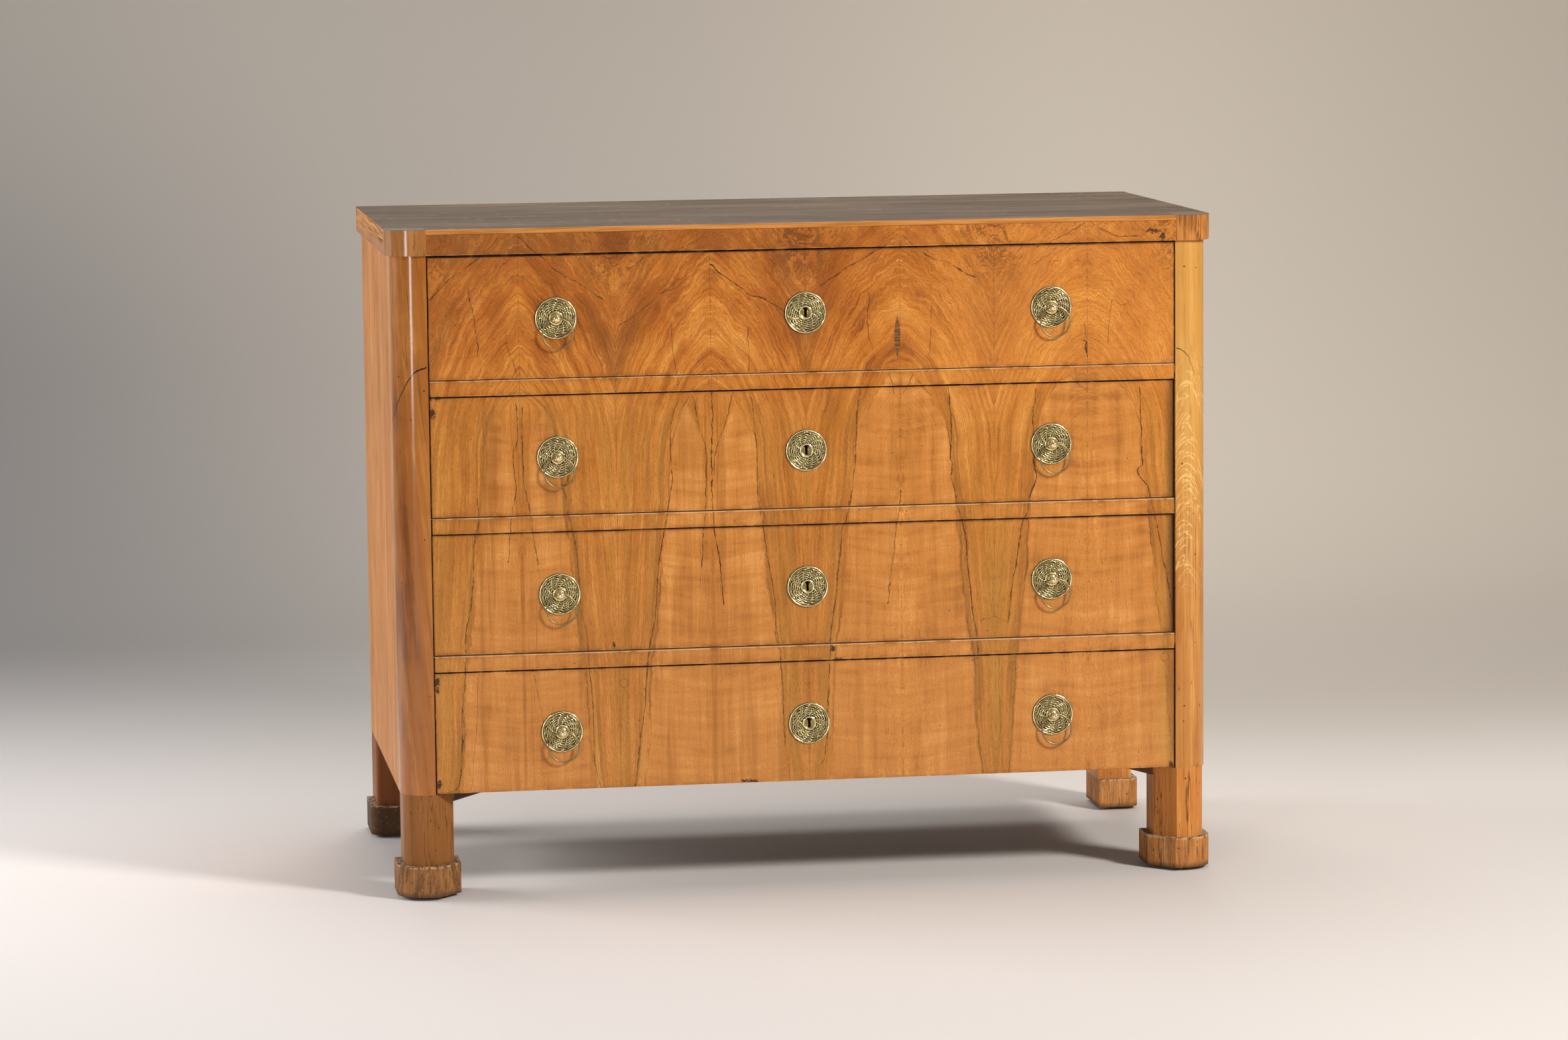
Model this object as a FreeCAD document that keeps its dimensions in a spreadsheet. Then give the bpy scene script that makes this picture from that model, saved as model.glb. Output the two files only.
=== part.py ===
# Antique veneered chest of four drawers, about 1840 to 1860, with ring pulls on rosette plates.
# Millimetres. +X is right seen from the front, +Y goes to the back, +Z is up. The origin lies on
# the floor in the middle of the whole object's box, and the front faces -Y.
import FreeCAD, Part
import math
import os
import Sketcher
from types import SimpleNamespace

Vector = FreeCAD.Vector
UPRIGHT = FreeCAD.Rotation()
FACING_BACK = FreeCAD.Rotation(Vector(1, 0, 0), -90)
FACING_RIGHT = FreeCAD.Rotation(Vector(0, 1, 0), 90)

# Driving sizes in millimetres, angles in degrees and plain shares
SIZES = {
    # carcase
    "case_width": 1142.0,
    "case_depth": 575.0,
    "side_thick": 20.0,
    "post_face": 47.0,
    "post_deep": 45.0,
    "corner_round": 32.0,
    "rebate_deep": 10.0,
    "back_thick": 14.0,
    "back_board_gap": 0.6,
    "bottom_thick": 12.0,
    # drawer bays from the top down, and the rails between them
    "bay_one": 172.65,
    "bay_two": 168.3,
    "bay_three": 170.1,
    "bay_four": 171.15,
    "rail_tall": 21.5,
    "rail_deep": 55.0,
    "tenon_long": 20.0,
    "tenon_thick": 22.0,
    "tenon_shoulder": 4.0,
    "tenon_setback": 14.0,
    # runners, guides and stops
    "ledge_wide": 46.0,
    "ledge_four": 18.0,
    "guide_tall": 25.0,
    "stop_wide": 30.0,
    "stop_deep": 15.0,
    "stop_tall": 6.0,
    "stop_inset": 199.0,
    "stop_gap": 0.3,
    # top
    "top_thick": 35.5,
    "top_board_thick": 22.0,
    "top_over_side": 7.5,
    "top_over_front": 5.0,
    "block_deep": 50.0,
    "block_round": 34.0,
    "lipping_tall": 7.0,
    "lipping_thick": 4.0,
    "frieze_thick": 30.0,
    "strip_wide": 60.0,
    # legs and feet
    "leg_tall": 99.8,
    "leg_inset": 2.5,
    "front_leg_wide": 70.5,
    "front_leg_deep": 72.0,
    "leg_chamfer": 27.5,
    "rear_leg_wide": 52.0,
    "rear_leg_deep": 85.0,
    "rear_leg_round": 6.0,
    "foot_tall": 42.5,
    "foot_proud": 9.0,
    "glide_tall": 4.5,
    "glide_radius": 20.0,
    "brace_long": 50.0,
    "brace_tall": 14.0,
    "brace_deep": 38.0,
    "brace_setback": 27.0,
    # drawer boxes
    "recess_one": 1.0,
    "recess_two": 4.0,
    "recess_three": 5.0,
    "recess_four": 2.0,
    "drawer_gap": 1.2,
    "run_gap": 0.3,
    "rear_room": 30.0,
    "front_thick": 22.0,
    "drawer_side_thick": 12.0,
    "drawer_back_thick": 12.0,
    "side_drop": 6.0,
    "panel_thick": 8.0,
    "panel_raise": 8.0,
    "groove_deep": 6.0,
    "lap_long": 16.0,
    "tail_end_share": 0.74,
    "tail_neck_share": 0.60,
    # rosette plates, shared by the pulls and the keyholes
    "pull_inset": 177.0,
    "rosette_drop": 3.0,
    "plate_radius": 29.0,
    "rim_tall": 2.8,
    "rim_wide": 3.0,
    "field_tall": 1.5,
    "collar_radius": 8.7,
    "collar_wide": 2.2,
    "collar_tall": 2.9,
    "centre_tall": 1.8,
    "rib_wide": 2.4,
    "rib_tall": 2.6,
    "rib_clear": 0.6,
    "rib_swirl": 20.0,
    # ball posts with their nuts, and the rings that hang in them
    "core_radius": 1.2,
    "shank_radius": 2.5,
    "shank_fit": 0.1,
    "flange_radius": 6.2,
    "flange_tall": 1.0,
    "flange_cone": 1.4,
    "neck_radius": 4.0,
    "ball_radius": 5.3,
    "pull_reach": 21.0,
    "nut_half_wide": 5.0,
    "nut_thick": 4.0,
    "shank_spare": 1.5,
    "ring_stand": 7.4,
    "ring_radius": 21.0,
    "wire_radius": 1.25,
    "ring_hole_radius": 2.7,
    "ring_lift": 0.2,
    "lean_left": 4.0,
    "lean_right": 12.0,
    # keyhole and half-mortise lock
    "key_round_radius": 3.4,
    "key_slot_wide": 3.8,
    "key_tall": 15.4,
    "key_rise": 1.7,
    "lock_plate_wide": 74.0,
    "lock_plate_tall": 118.0,
    "lock_metal": 2.0,
    "lock_case_wide": 56.0,
    "lock_case_inset": 6.0,
    "lock_deep": 13.0,
    "cap_thick": 1.5,
    "bolt_wide": 22.0,
    "bolt_thick": 5.0,
    "bolt_head_tall": 14.0,
    "bolt_shank_wide": 10.0,
    "bolt_shank_tall": 40.0,
    "bolt_setback": 7.0,
    "bolt_fit": 0.3,
    "bolt_sink": 0.5,
    "bolt_throw": 8.0,
    "mortise_spare": 1.5,
    # one overrun serves every cut that runs out through a face
    "overrun": 5.0,
}
BAYS = ("bay_one", "bay_two", "bay_three", "bay_four")
RECESSES = ("recess_one", "recess_two", "recess_three", "recess_four")
TAIL_COUNT = 3
RIB_COUNT = 12
PLATE_SIDES = 20
POST_SIDES = 10
BALL_ANGLES = (22, 50, 77, 104)
RING_SIDES = 22
WIRE_SIDES = 6
RING_HOLE_SIDES = 8
GLIDE_SIDES = 16
BACK_BOARD_COUNT = 5
SAME_POINT = 1e-6

document = FreeCAD.newDocument("chest_of_drawers")
sheet = document.addObject("Spreadsheet::Sheet", "dims")


class Size:
    """A length that carries its value and the expression that ties it to the sheet."""

    def __init__(self, text, value):
        self.text = text
        self.value = value

    def __add__(self, other):
        return joined(self, "+", other, self.value + plain(other))

    def __sub__(self, other):
        return joined(self, "-", other, self.value - plain(other))

    def __mul__(self, other):
        return joined(self, "*", other, self.value * plain(other))

    def __rmul__(self, other):
        return joined(other, "*", self, plain(other) * self.value)

    def __truediv__(self, other):
        return joined(self, "/", other, self.value / plain(other))

    def __neg__(self):
        return Size("(0 - %s)" % self.text, -self.value)


def plain(term):
    """The bare value of a size or of a factor."""
    return term.value if isinstance(term, Size) else term


def joined(first, sign, second, value):
    words = [term.text if isinstance(term, Size) else repr(term) for term in (first, second)]
    return Size("(%s %s %s)" % (words[0], sign, words[1]), value)


def sine(angle):
    return Size("sin(%s)" % angle.text, math.sin(math.radians(angle.value)))


def cosine(angle):
    return Size("cos(%s)" % angle.text, math.cos(math.radians(angle.value)))


def square_root(size):
    return Size("sqrt(%s)" % size.text, math.sqrt(size.value))


def fill_sheet():
    """Gives every driving size a cell of its own and returns them by name."""
    named = {}
    for row, (alias, value) in enumerate(SIZES.items(), start=1):
        cell = "B%d" % row
        sheet.set(cell, str(value))
        sheet.setAlias(cell, alias)
        named[alias] = Size("dims." + alias, value)
    document.recompute()
    return SimpleNamespace(**named)


s = fill_sheet()
ZERO = Size("0", 0.0)
nodes = []

# Helpers: whatever they make is bound to the sheet


def bind(thing, property_name, size):
    thing.setExpression(property_name, size.text)


def place(thing, x=ZERO, y=ZERO, z=ZERO, turn=UPRIGHT):
    """Turns a thing about its own origin and ties that origin to a place."""
    thing.Placement = FreeCAD.Placement(Vector(x.value, y.value, z.value), turn)
    for letter, size in (("x", x), ("y", y), ("z", z)):
        bind(thing, "Placement.Base." + letter, size)
    return thing


def both_ways(half):
    return (-half, half)


def onward(start, length):
    return (start, start + length)


def box(name, x, y, z):
    """A board between two limits on each axis."""
    thing = document.addObject("Part::Box", name)
    for side, (low, high) in zip(("Length", "Width", "Height"), (x, y, z)):
        bind(thing, side, high - low)
    return place(thing, x[0], y[0], z[0])


def prism(name, sides, radius, length):
    """A regular prism about the Z axis, measured to its corners."""
    thing = document.addObject("Part::Prism", name)
    thing.Polygon = sides
    bind(thing, "Circumradius", radius)
    bind(thing, "Height", length)
    return thing


def fuse(name, things):
    thing = document.addObject("Part::MultiFuse", name)
    thing.Shapes = things
    thing.Refine = True
    return thing


def cut(name, base, tools):
    """The base without the tools."""
    thing = document.addObject("Part::Cut", name)
    thing.Base = base
    thing.Tool = tools[0] if len(tools) == 1 else fuse(name + "_tools", tools)
    thing.Refine = True
    return thing


def gather(name, things):
    """Separate solids kept together as one piece."""
    thing = document.addObject("Part::Compound", name)
    thing.Links = things
    return thing


def mirror(name, source):
    """The same piece on the other side of the chest."""
    thing = document.addObject("Part::Mirroring", name)
    thing.Source = source
    thing.Normal = Vector(1, 0, 0)
    return thing


def node(label, thing):
    """Names a finished piece, which is then written to its own file."""
    thing.Label = label
    nodes.append(thing)
    return thing


def origin_feature(body, role):
    return next(feature for feature in body.Origin.OriginFeatures if feature.Role == role)


def draw(sketch, corners):
    """A closed outline through corners (x, y), or (x, y, radius) where an arc leads on.

    The arc bulges to the right of the way that the outline runs.
    """
    points = [Vector(corner[0].value, corner[1].value, 0) for corner in corners]
    following = points[1:] + points[:1]
    for corner, start, end in zip(corners, points, following):
        if len(corner) == 2:
            sketch.addGeometry(Part.LineSegment(start, end), False)
        else:
            half_chord = (end - start) / 2
            radius = corner[2].value
            rise = radius - math.sqrt(max(radius ** 2 - half_chord.Length ** 2, 0))
            right = Vector(half_chord.y, -half_chord.x, 0).normalize()
            sketch.addGeometry(Part.Arc(start, start + half_chord + right * rise, end), False)

    def end_at(index, point):
        """Which end of an edge lies at a point, as the sketcher counts them."""
        return 1 if (sketch.Geometry[index].StartPoint - point).Length < SAME_POINT else 2

    for index, (corner, point) in enumerate(zip(corners, points)):
        own_end = end_at(index, point)
        previous = (index - 1) % len(points)
        sketch.addConstraint(
            Sketcher.Constraint("Coincident", previous, end_at(previous, point), index, own_end))
        for kind, size in (("DistanceX", corner[0]), ("DistanceY", corner[1])):
            rule = sketch.addConstraint(Sketcher.Constraint(kind, index, own_end, size.value))
            bind(sketch, "Constraints[%d]" % rule, size)
        if len(corner) == 3:
            rule = sketch.addConstraint(Sketcher.Constraint("Radius", index, corner[2].value))
            bind(sketch, "Constraints[%d]" % rule, corner[2])
    return sketch


def outline(body, role, corners):
    """An outline drawn on one of a body's own planes."""
    sketch = body.newObject("Sketcher::SketchObject", body.Name + "_outline")
    sketch.AttachmentSupport = (origin_feature(body, role), [""])
    sketch.MapMode = "FlatFace"
    return draw(sketch, corners)


def add_pad(body, sketch, length, reverse=False):
    pad = body.newObject("PartDesign::Pad", body.Name + "_pad")
    pad.Profile = sketch
    bind(pad, "Length", length)
    pad.Reversed = reverse
    return pad


def standing(name, corners, z):
    """A plan outline raised between two levels."""
    body = document.addObject("PartDesign::Body", name)
    add_pad(body, outline(body, "XY_Plane", corners), z[1] - z[0])
    return place(body, z=z[0])


def lengthways(name, corners, y):
    """An outline seen from the front, run back between two depths."""
    body = document.addObject("PartDesign::Body", name)
    add_pad(body, outline(body, "XZ_Plane", corners), y[1] - y[0], reverse=True)
    return place(body, y=y[0])


def regular_polygon(name, sides, radius):
    thing = document.addObject("Part::RegularPolygon", name)
    thing.Polygon = sides
    bind(thing, "Circumradius", radius)
    return thing


def sweep(name, section, path):
    """A section carried round a polygon, with mitred corners."""
    thing = document.addObject("Part::Sweep", name)
    thing.Sections = [section]
    thing.Spine = (path, [])
    thing.Solid = True
    thing.Transition = "Right corner"
    return thing


def turned(name, sides, corners):
    """An outline of radius and level, turned about the Z axis in flat facets."""
    section = document.addObject("Sketcher::SketchObject", name + "_section")
    section.Placement.Rotation = FreeCAD.Rotation(Vector(1, 0, 0), 90)
    draw(section, corners)
    return sweep(name, section, regular_polygon(name + "_path", sides, s.core_radius))


# Levels and limits that the pieces share

half_case = s.case_width / 2
half_bay = half_case - s.post_face
half_inside = half_case - s.side_thick
half_top = half_case + s.top_over_side
front = (s.pull_reach - s.recess_one - s.case_depth) / 2
back = front + s.case_depth
back_inner = back - s.back_thick
leg_base = s.glide_tall + s.foot_tall
case_base = leg_base + s.leg_tall
floors = [case_base]
ceilings = [case_base + s.bay_four]
for bay_name in reversed(BAYS[:-1]):
    floors.insert(0, ceilings[0] + s.rail_tall)
    ceilings.insert(0, floors[0] + getattr(s, bay_name))
case_top = ceilings[0]
top = case_top + s.top_thick
ledges = floors[:-1] + [case_base + s.ledge_four]
faces = [front + getattr(s, name) for name in RECESSES]

# Shared cutters: the keyhole, and the mortise that takes a thrown bolt


def keyhole(name, y, z):
    """A round-topped keyhole that runs through between two depths, centred on a level."""
    round_top = z + s.key_tall / 2 - s.key_round_radius
    eye = place(prism(name + "_eye", POST_SIDES, s.key_round_radius, y[1] - y[0]),
                ZERO, y[0], round_top, FACING_BACK)
    slot = box(name + "_slot", both_ways(s.key_slot_wide / 2), y, (z - s.key_tall / 2, round_top))
    return fuse(name, [eye, slot])


def bolt_mortise(index):
    """Room above drawer number index for its bolt, in the rail or frieze."""
    bolt_line = faces[index] + s.front_thick - s.bolt_setback
    thrown = ceilings[index] - s.drawer_gap - s.bolt_sink + s.bolt_throw
    return box("bolt_mortise", both_ways(s.bolt_wide / 2 + s.mortise_spare),
               onward(bolt_line - s.bolt_thick / 2 - s.mortise_spare,
                      s.bolt_thick + 2 * s.mortise_spare),
               (ceilings[index] - s.overrun, thrown + s.mortise_spare))


# Top: a board rebated over a frieze, between rounded corner blocks


def make_top():
    top_front = front - s.top_over_front
    block_back = top_front + s.block_deep
    board_low = top - s.top_board_thick
    blocks = standing("corner_block", [
        (half_bay, top_front),
        (half_top - s.block_round, top_front, s.block_round),
        (half_top, top_front + s.block_round),
        (half_top, block_back),
        (half_bay, block_back),
    ], (case_top, top))
    node("top_corner_blocks", gather("corner_blocks", [blocks, mirror("corner_block_left", blocks)]))

    lipping = box("lipping", both_ways(half_bay), onward(top_front, s.lipping_thick),
                  (top - s.lipping_tall, top))
    frieze_board = box("frieze_board", both_ways(half_bay), onward(top_front, s.frieze_thick),
                       (case_top, top - s.lipping_tall))
    frieze = cut("frieze", frieze_board, [bolt_mortise(0)])
    node("top_front_edging", gather("front_edging", [frieze, lipping]))

    room = box("block_room", (half_bay, half_top + s.overrun), (top_front - s.overrun, block_back),
               (case_top, top + s.overrun))
    slab = box("slab", both_ways(half_top), (top_front, back), (board_low, top))
    node("top_board", cut("board_top", slab, [lipping, frieze_board, room, mirror("room_left", room)]))

    strip = box("side_strip", (half_top - s.strip_wide, half_top), (block_back, back),
                (case_top, board_low))
    rear = box("rear_strip", both_ways(half_top - s.strip_wide), (back - s.strip_wide, back),
               (case_top, board_low))
    node("top_doubling_strips", gather("strips", [strip, mirror("side_strip_left", strip), rear]))


# Carcase: rounded front posts, tenoned rails, rebated sides, back and bottom boards


def make_rails():
    """The three rails, and the tenons that the right-hand post is mortised for."""
    rails, tenons = [], []
    for index in range(len(BAYS) - 1):
        level = (ceilings[index + 1], floors[index])
        blade = box("rail_blade", both_ways(half_bay), onward(front, s.rail_deep), level)
        tenon = box("tenon", onward(half_bay, s.tenon_long),
                    onward(front + s.tenon_setback, s.tenon_thick),
                    (level[0] + s.tenon_shoulder, level[1] - s.tenon_shoulder))
        whole = fuse("rail_with_tenons", [blade, tenon, mirror("tenon_left", tenon)])
        rails.append(cut("rail", whole, [bolt_mortise(index + 1)]))
        tenons.append(tenon)
    node("drawer_rails", gather("rails", rails))
    return tenons


def make_carcase():
    tenons = make_rails()
    post = standing("post", [
        (half_bay, front),
        (half_case - s.corner_round, front, s.corner_round),
        (half_case, front + s.corner_round),
        (half_case, front + s.post_deep),
        (half_bay, front + s.post_deep),
    ], (case_base, case_top))
    right_post = node("front_post_right", cut("post_mortised", post, tenons))
    node("front_post_left", mirror("post_left", right_post))

    side = node("side_panel_right", standing("side", [
        (half_inside, front + s.post_deep),
        (half_case, front + s.post_deep),
        (half_case, back),
        (half_inside + s.rebate_deep, back),
        (half_inside + s.rebate_deep, back_inner),
        (half_inside, back_inner),
    ], (case_base, case_top)))
    node("side_panel_left", mirror("side_left", side))

    half_back = half_inside + s.rebate_deep
    gaps = BACK_BOARD_COUNT - 1
    board_wide = (2 * half_back - gaps * s.back_board_gap) / BACK_BOARD_COUNT
    boards = [
        box("back_board", onward(index * (board_wide + s.back_board_gap) - half_back, board_wide),
            (back_inner, back), (case_base, case_top))
        for index in range(BACK_BOARD_COUNT)
    ]
    node("back_boards", gather("back", boards))

    board_front = faces[-1] + s.front_thick + s.drawer_gap
    node("bottom_board", standing("bottom", [
        (-half_bay, board_front),
        (half_bay, board_front),
        (half_bay, front + s.post_deep),
        (half_inside, front + s.post_deep),
        (half_inside, back_inner),
        (-half_inside, back_inner),
        (-half_inside, front + s.post_deep),
        (-half_bay, front + s.post_deep),
    ], onward(case_base, s.bottom_thick)))


def make_runners():
    """Rebated runners whose raised outer edge guides the drawer, and the drawer stops."""
    undersides = ceilings[1:] + [case_base + s.bottom_thick]
    seats = floors[:-1] + [case_base + s.bottom_thick]
    ledge_inner = half_inside - s.ledge_wide
    runners, stops = [], []
    for face, ledge, underside, seat in zip(faces, ledges, undersides, seats):
        runner = lengthways("runner", [
            (ledge_inner, underside),
            (half_inside, underside),
            (half_inside, ledge + s.guide_tall),
            (half_bay, ledge + s.guide_tall),
            (half_bay, ledge),
            (ledge_inner, ledge),
        ], (front + s.rail_deep, back_inner))
        stop = box("stop", onward(half_bay - s.stop_inset - s.stop_wide, s.stop_wide),
                   onward(face + s.front_thick + s.stop_gap, s.stop_deep),
                   (seat, ledge + s.stop_tall))
        runners += [runner, mirror("runner_left", runner)]
        stops += [stop, mirror("stop_left", stop)]
    node("drawer_runners", gather("runners", runners))
    node("drawer_stops", gather("stops", stops))


# Legs, feet and glides: the front legs are rounded outside and chamfered inside


def front_leg_plan(proud):
    """The front leg's plan, or the foot's where it stands proud of the leg all round."""
    outer = half_case - s.leg_inset + proud
    inner = half_case - s.leg_inset - s.front_leg_wide - proud
    round_by = s.corner_round - s.leg_inset + proud
    chamfer = s.leg_chamfer + (2 - math.sqrt(2)) * proud
    face = front - proud
    rear = front + s.front_leg_deep + proud
    return [
        (inner + chamfer, face),
        (outer - round_by, face, round_by),
        (outer, face + round_by),
        (outer, rear),
        (inner, rear),
        (inner, face + chamfer),
    ]


def rear_leg_plan(proud):
    """The rear leg's plan: its foot is proud in front and outside only."""
    outer = half_case + proud
    inner = half_case - s.rear_leg_wide
    face = back - s.rear_leg_deep - proud
    round_by = s.rear_leg_round + proud
    return [
        (inner, face),
        (outer - round_by, face, round_by),
        (outer, face + round_by),
        (outer, back),
        (inner, back),
    ]


def brace(inner, y):
    """A tapered glue block in the corner between a leg and the bottom board."""
    return lengthways("brace", [
        (inner - s.brace_long, case_base),
        (inner, case_base - s.brace_tall),
        (inner, case_base),
    ], y)


def make_legs():
    front_inner = half_case - s.leg_inset - s.front_leg_wide
    rear_inner = half_case - s.rear_leg_wide
    rear_face = back - s.rear_leg_deep
    legs = [
        standing("front_leg", front_leg_plan(ZERO), (leg_base, case_base)),
        standing("rear_leg", rear_leg_plan(ZERO), (leg_base, case_base)),
        brace(front_inner, onward(front + s.brace_setback, s.brace_deep)),
        brace(rear_inner, onward(rear_face + s.brace_setback, s.brace_deep)),
    ]
    feet = [
        standing("front_foot", front_leg_plan(s.foot_proud), (s.glide_tall, leg_base)),
        standing("rear_foot", rear_leg_plan(s.foot_proud), (s.glide_tall, leg_base)),
    ]
    glides = []
    for x, y in (
        (front_inner + s.front_leg_wide / 2, front + s.front_leg_deep / 2),
        (rear_inner + s.rear_leg_wide / 2, rear_face + s.rear_leg_deep / 2),
    ):
        glides.append(place(prism("glide", GLIDE_SIDES, s.glide_radius, s.glide_tall), x, y))
    for label, right_hand in (("legs", legs), ("feet", feet), ("glides", glides)):
        left_hand = [mirror(thing.Name + "_left", thing) for thing in right_hand]
        node(label, gather(label + "_group", right_hand + left_hand))


# Hardware that repeats: made once about its own axis, then copied into place


def rosette():
    """A stamped plate: raised rim, swirled ribs, and a smooth collar round the middle."""
    middle_of_rim = s.plate_radius - s.rim_wide / 2
    middle_of_collar = s.collar_radius - s.collar_wide / 2
    plate = turned("plate", PLATE_SIDES, [
        (s.core_radius, ZERO),
        (s.plate_radius, ZERO),
        (middle_of_rim, -s.rim_tall),
        (s.plate_radius - s.rim_wide, -s.field_tall),
        (s.collar_radius, -s.field_tall),
        (middle_of_collar, -s.collar_tall),
        (s.collar_radius - s.collar_wide, -s.centre_tall),
        (s.core_radius, -s.centre_tall),
    ])
    ribs = document.addObject("PartDesign::Body", "ribs")
    ridge = outline(ribs, "XZ_Plane", [
        (-s.rib_wide / 2, -s.field_tall),
        (s.rib_wide / 2, -s.field_tall),
        (ZERO, -s.rib_tall),
    ])
    bind(ridge, "AttachmentOffset.Base.z", -s.collar_radius - s.rib_clear)
    rib = add_pad(ribs, ridge, s.plate_radius - s.rim_wide - s.collar_radius - 2 * s.rib_clear)
    rib.UseCustomVector = True
    rib.AlongSketchNormal = False
    rib.Direction = Vector(0, 1, 0)
    for letter, share in (("x", sine(s.rib_swirl)), ("y", cosine(s.rib_swirl))):
        bind(rib, "Direction." + letter, share)
    swirl = ribs.newObject("PartDesign::PolarPattern", "swirl")
    swirl.Originals = [rib]
    swirl.Axis = (origin_feature(ribs, "Z_Axis"), [""])
    swirl.Angle = 360
    swirl.Occurrences = RIB_COUNT
    ribs.Tip = swirl
    return fuse("rosette", [plate, ribs])


def pull_plate(blank):
    """The rosette of a pull, bored for the shank of its post."""
    bore = prism("plate_bore", POST_SIDES, s.shank_radius + s.shank_fit,
                 s.centre_tall + 2 * s.overrun)
    return cut("pull_plate", blank, [place(bore, z=-s.centre_tall - s.overrun)])


def ball_post():
    """The turned post: ball, neck drilled for the ring, flange and threaded shank."""
    ball_foot = square_root(s.ball_radius * s.ball_radius - s.neck_radius * s.neck_radius)
    flange_front = -s.centre_tall - s.flange_tall
    shank_end = s.front_thick + s.nut_thick + s.shank_spare
    angles = [Size(str(angle), angle) for angle in BALL_ANGLES]
    ball_line = s.ball_radius * cosine(angles[0]) - s.pull_reach
    ball = [(s.ball_radius * sine(angle), ball_line - s.ball_radius * cosine(angle))
            for angle in angles]
    turning = turned("post_turning", POST_SIDES, [(s.core_radius, ball[0][1])] + ball + [
        (s.neck_radius, ball_line + ball_foot),
        (s.neck_radius, flange_front - s.flange_cone),
        (s.flange_radius, flange_front),
        (s.flange_radius, -s.centre_tall),
        (s.shank_radius, -s.centre_tall),
        (s.shank_radius, shank_end),
        (s.core_radius, shank_end),
    ])
    core = prism("post_core", POST_SIDES, s.core_radius, shank_end - ball[0][1])
    place(core, z=ball[0][1])
    reach = s.neck_radius + s.overrun
    drill = prism("ring_hole", RING_HOLE_SIDES, s.ring_hole_radius, 2 * reach)
    place(drill, -reach, ZERO, -s.ring_stand, FACING_RIGHT)
    return cut("ball_post", fuse("post_blank", [turning, core]), [drill])


def nut():
    """The square nut that holds a post behind the drawer front."""
    block = box("nut_block", both_ways(s.nut_half_wide), both_ways(s.nut_half_wide),
                onward(s.front_thick, s.nut_thick))
    thread = prism("nut_thread", POST_SIDES, s.shank_radius, s.nut_thick + 2 * s.overrun)
    return cut("nut", block, [place(thread, z=s.front_thick - s.overrun)])


def ring():
    """A wire ring, lying about the Z axis."""
    section = regular_polygon("wire_section", WIRE_SIDES, s.wire_radius)
    place(section, s.ring_radius, ZERO, ZERO, FACING_BACK)
    return sweep("ring_wire", section, regular_polygon("ring_path", RING_SIDES, s.ring_radius))


def lock():
    """A half-mortise lock, open behind its cap, with its top edge at the origin's level."""
    half_plate = s.lock_plate_wide / 2
    half_lock = s.lock_case_wide / 2
    lock_front = s.front_thick - s.lock_deep
    plate_front = s.front_thick - s.lock_metal
    case_low = s.lock_case_inset - s.lock_plate_tall
    plate = box("lock_plate", both_ways(half_plate), (plate_front, s.front_thick),
                (-s.lock_plate_tall, ZERO))
    selvage = box("lock_selvage", both_ways(half_plate), (lock_front, plate_front),
                  (-s.lock_metal, ZERO))
    shell = box("lock_shell", both_ways(half_lock), (lock_front, plate_front),
                (case_low, -s.lock_metal))
    hollow = box("lock_hollow", both_ways(half_lock - s.cap_thick),
                 (lock_front + s.cap_thick, plate_front),
                 (case_low + s.cap_thick, -s.lock_metal))
    bolt_line = s.front_thick - s.bolt_setback
    slot = box("bolt_slot", both_ways(s.bolt_wide / 2 + s.bolt_fit),
               onward(bolt_line - s.bolt_thick / 2 - s.bolt_fit, s.bolt_thick + 2 * s.bolt_fit),
               (-s.lock_metal, s.overrun))
    blank = fuse("lock_blank", [plate, selvage, shell])
    return blank, [hollow, slot]


def bolt():
    """The lock's sliding bolt, a head on a narrower shank, drawn back level with the lock."""
    bolt_front = s.front_thick - s.bolt_setback - s.bolt_thick / 2
    head_low = -s.bolt_sink - s.bolt_head_tall
    head = box("bolt_head", both_ways(s.bolt_wide / 2), onward(bolt_front, s.bolt_thick),
               (head_low, -s.bolt_sink))
    shank = box("bolt_shank", both_ways(s.bolt_shank_wide / 2), onward(bolt_front, s.bolt_thick),
                (head_low - s.bolt_shank_tall, head_low))
    return fuse("bolt", [head, shank])


# Drawers: lapped dovetails in front, through dovetails behind, a grooved-in bottom


def tails(y, z, end_first):
    """Right-hand dovetails along one end of a drawer side, spread between two levels."""
    pitch = (z[1] - z[0]) / TAIL_COUNT
    half_end = pitch * s.tail_end_share / 2
    half_neck = pitch * s.tail_neck_share / 2
    near, far = (half_end, half_neck) if end_first else (half_neck, half_end)
    outer = half_bay - s.drawer_gap
    made = []
    for index in range(TAIL_COUNT):
        tail = document.addObject("Part::Wedge", "tail")
        for low_name, high_name, low, high in (
            ("Xmin", "Xmax", ZERO, s.drawer_side_thick),
            ("X2min", "X2max", ZERO, s.drawer_side_thick),
            ("Ymin", "Ymax", ZERO, y[1] - y[0]),
            ("Zmin", "Zmax", -near, near),
            ("Z2min", "Z2max", -far, far),
        ):
            bind(tail, low_name, low)
            bind(tail, high_name, high)
        made.append(place(tail, outer - s.drawer_side_thick, y[0], z[0] + (index + 0.5) * pitch))
    return fuse("tails", made)


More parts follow.
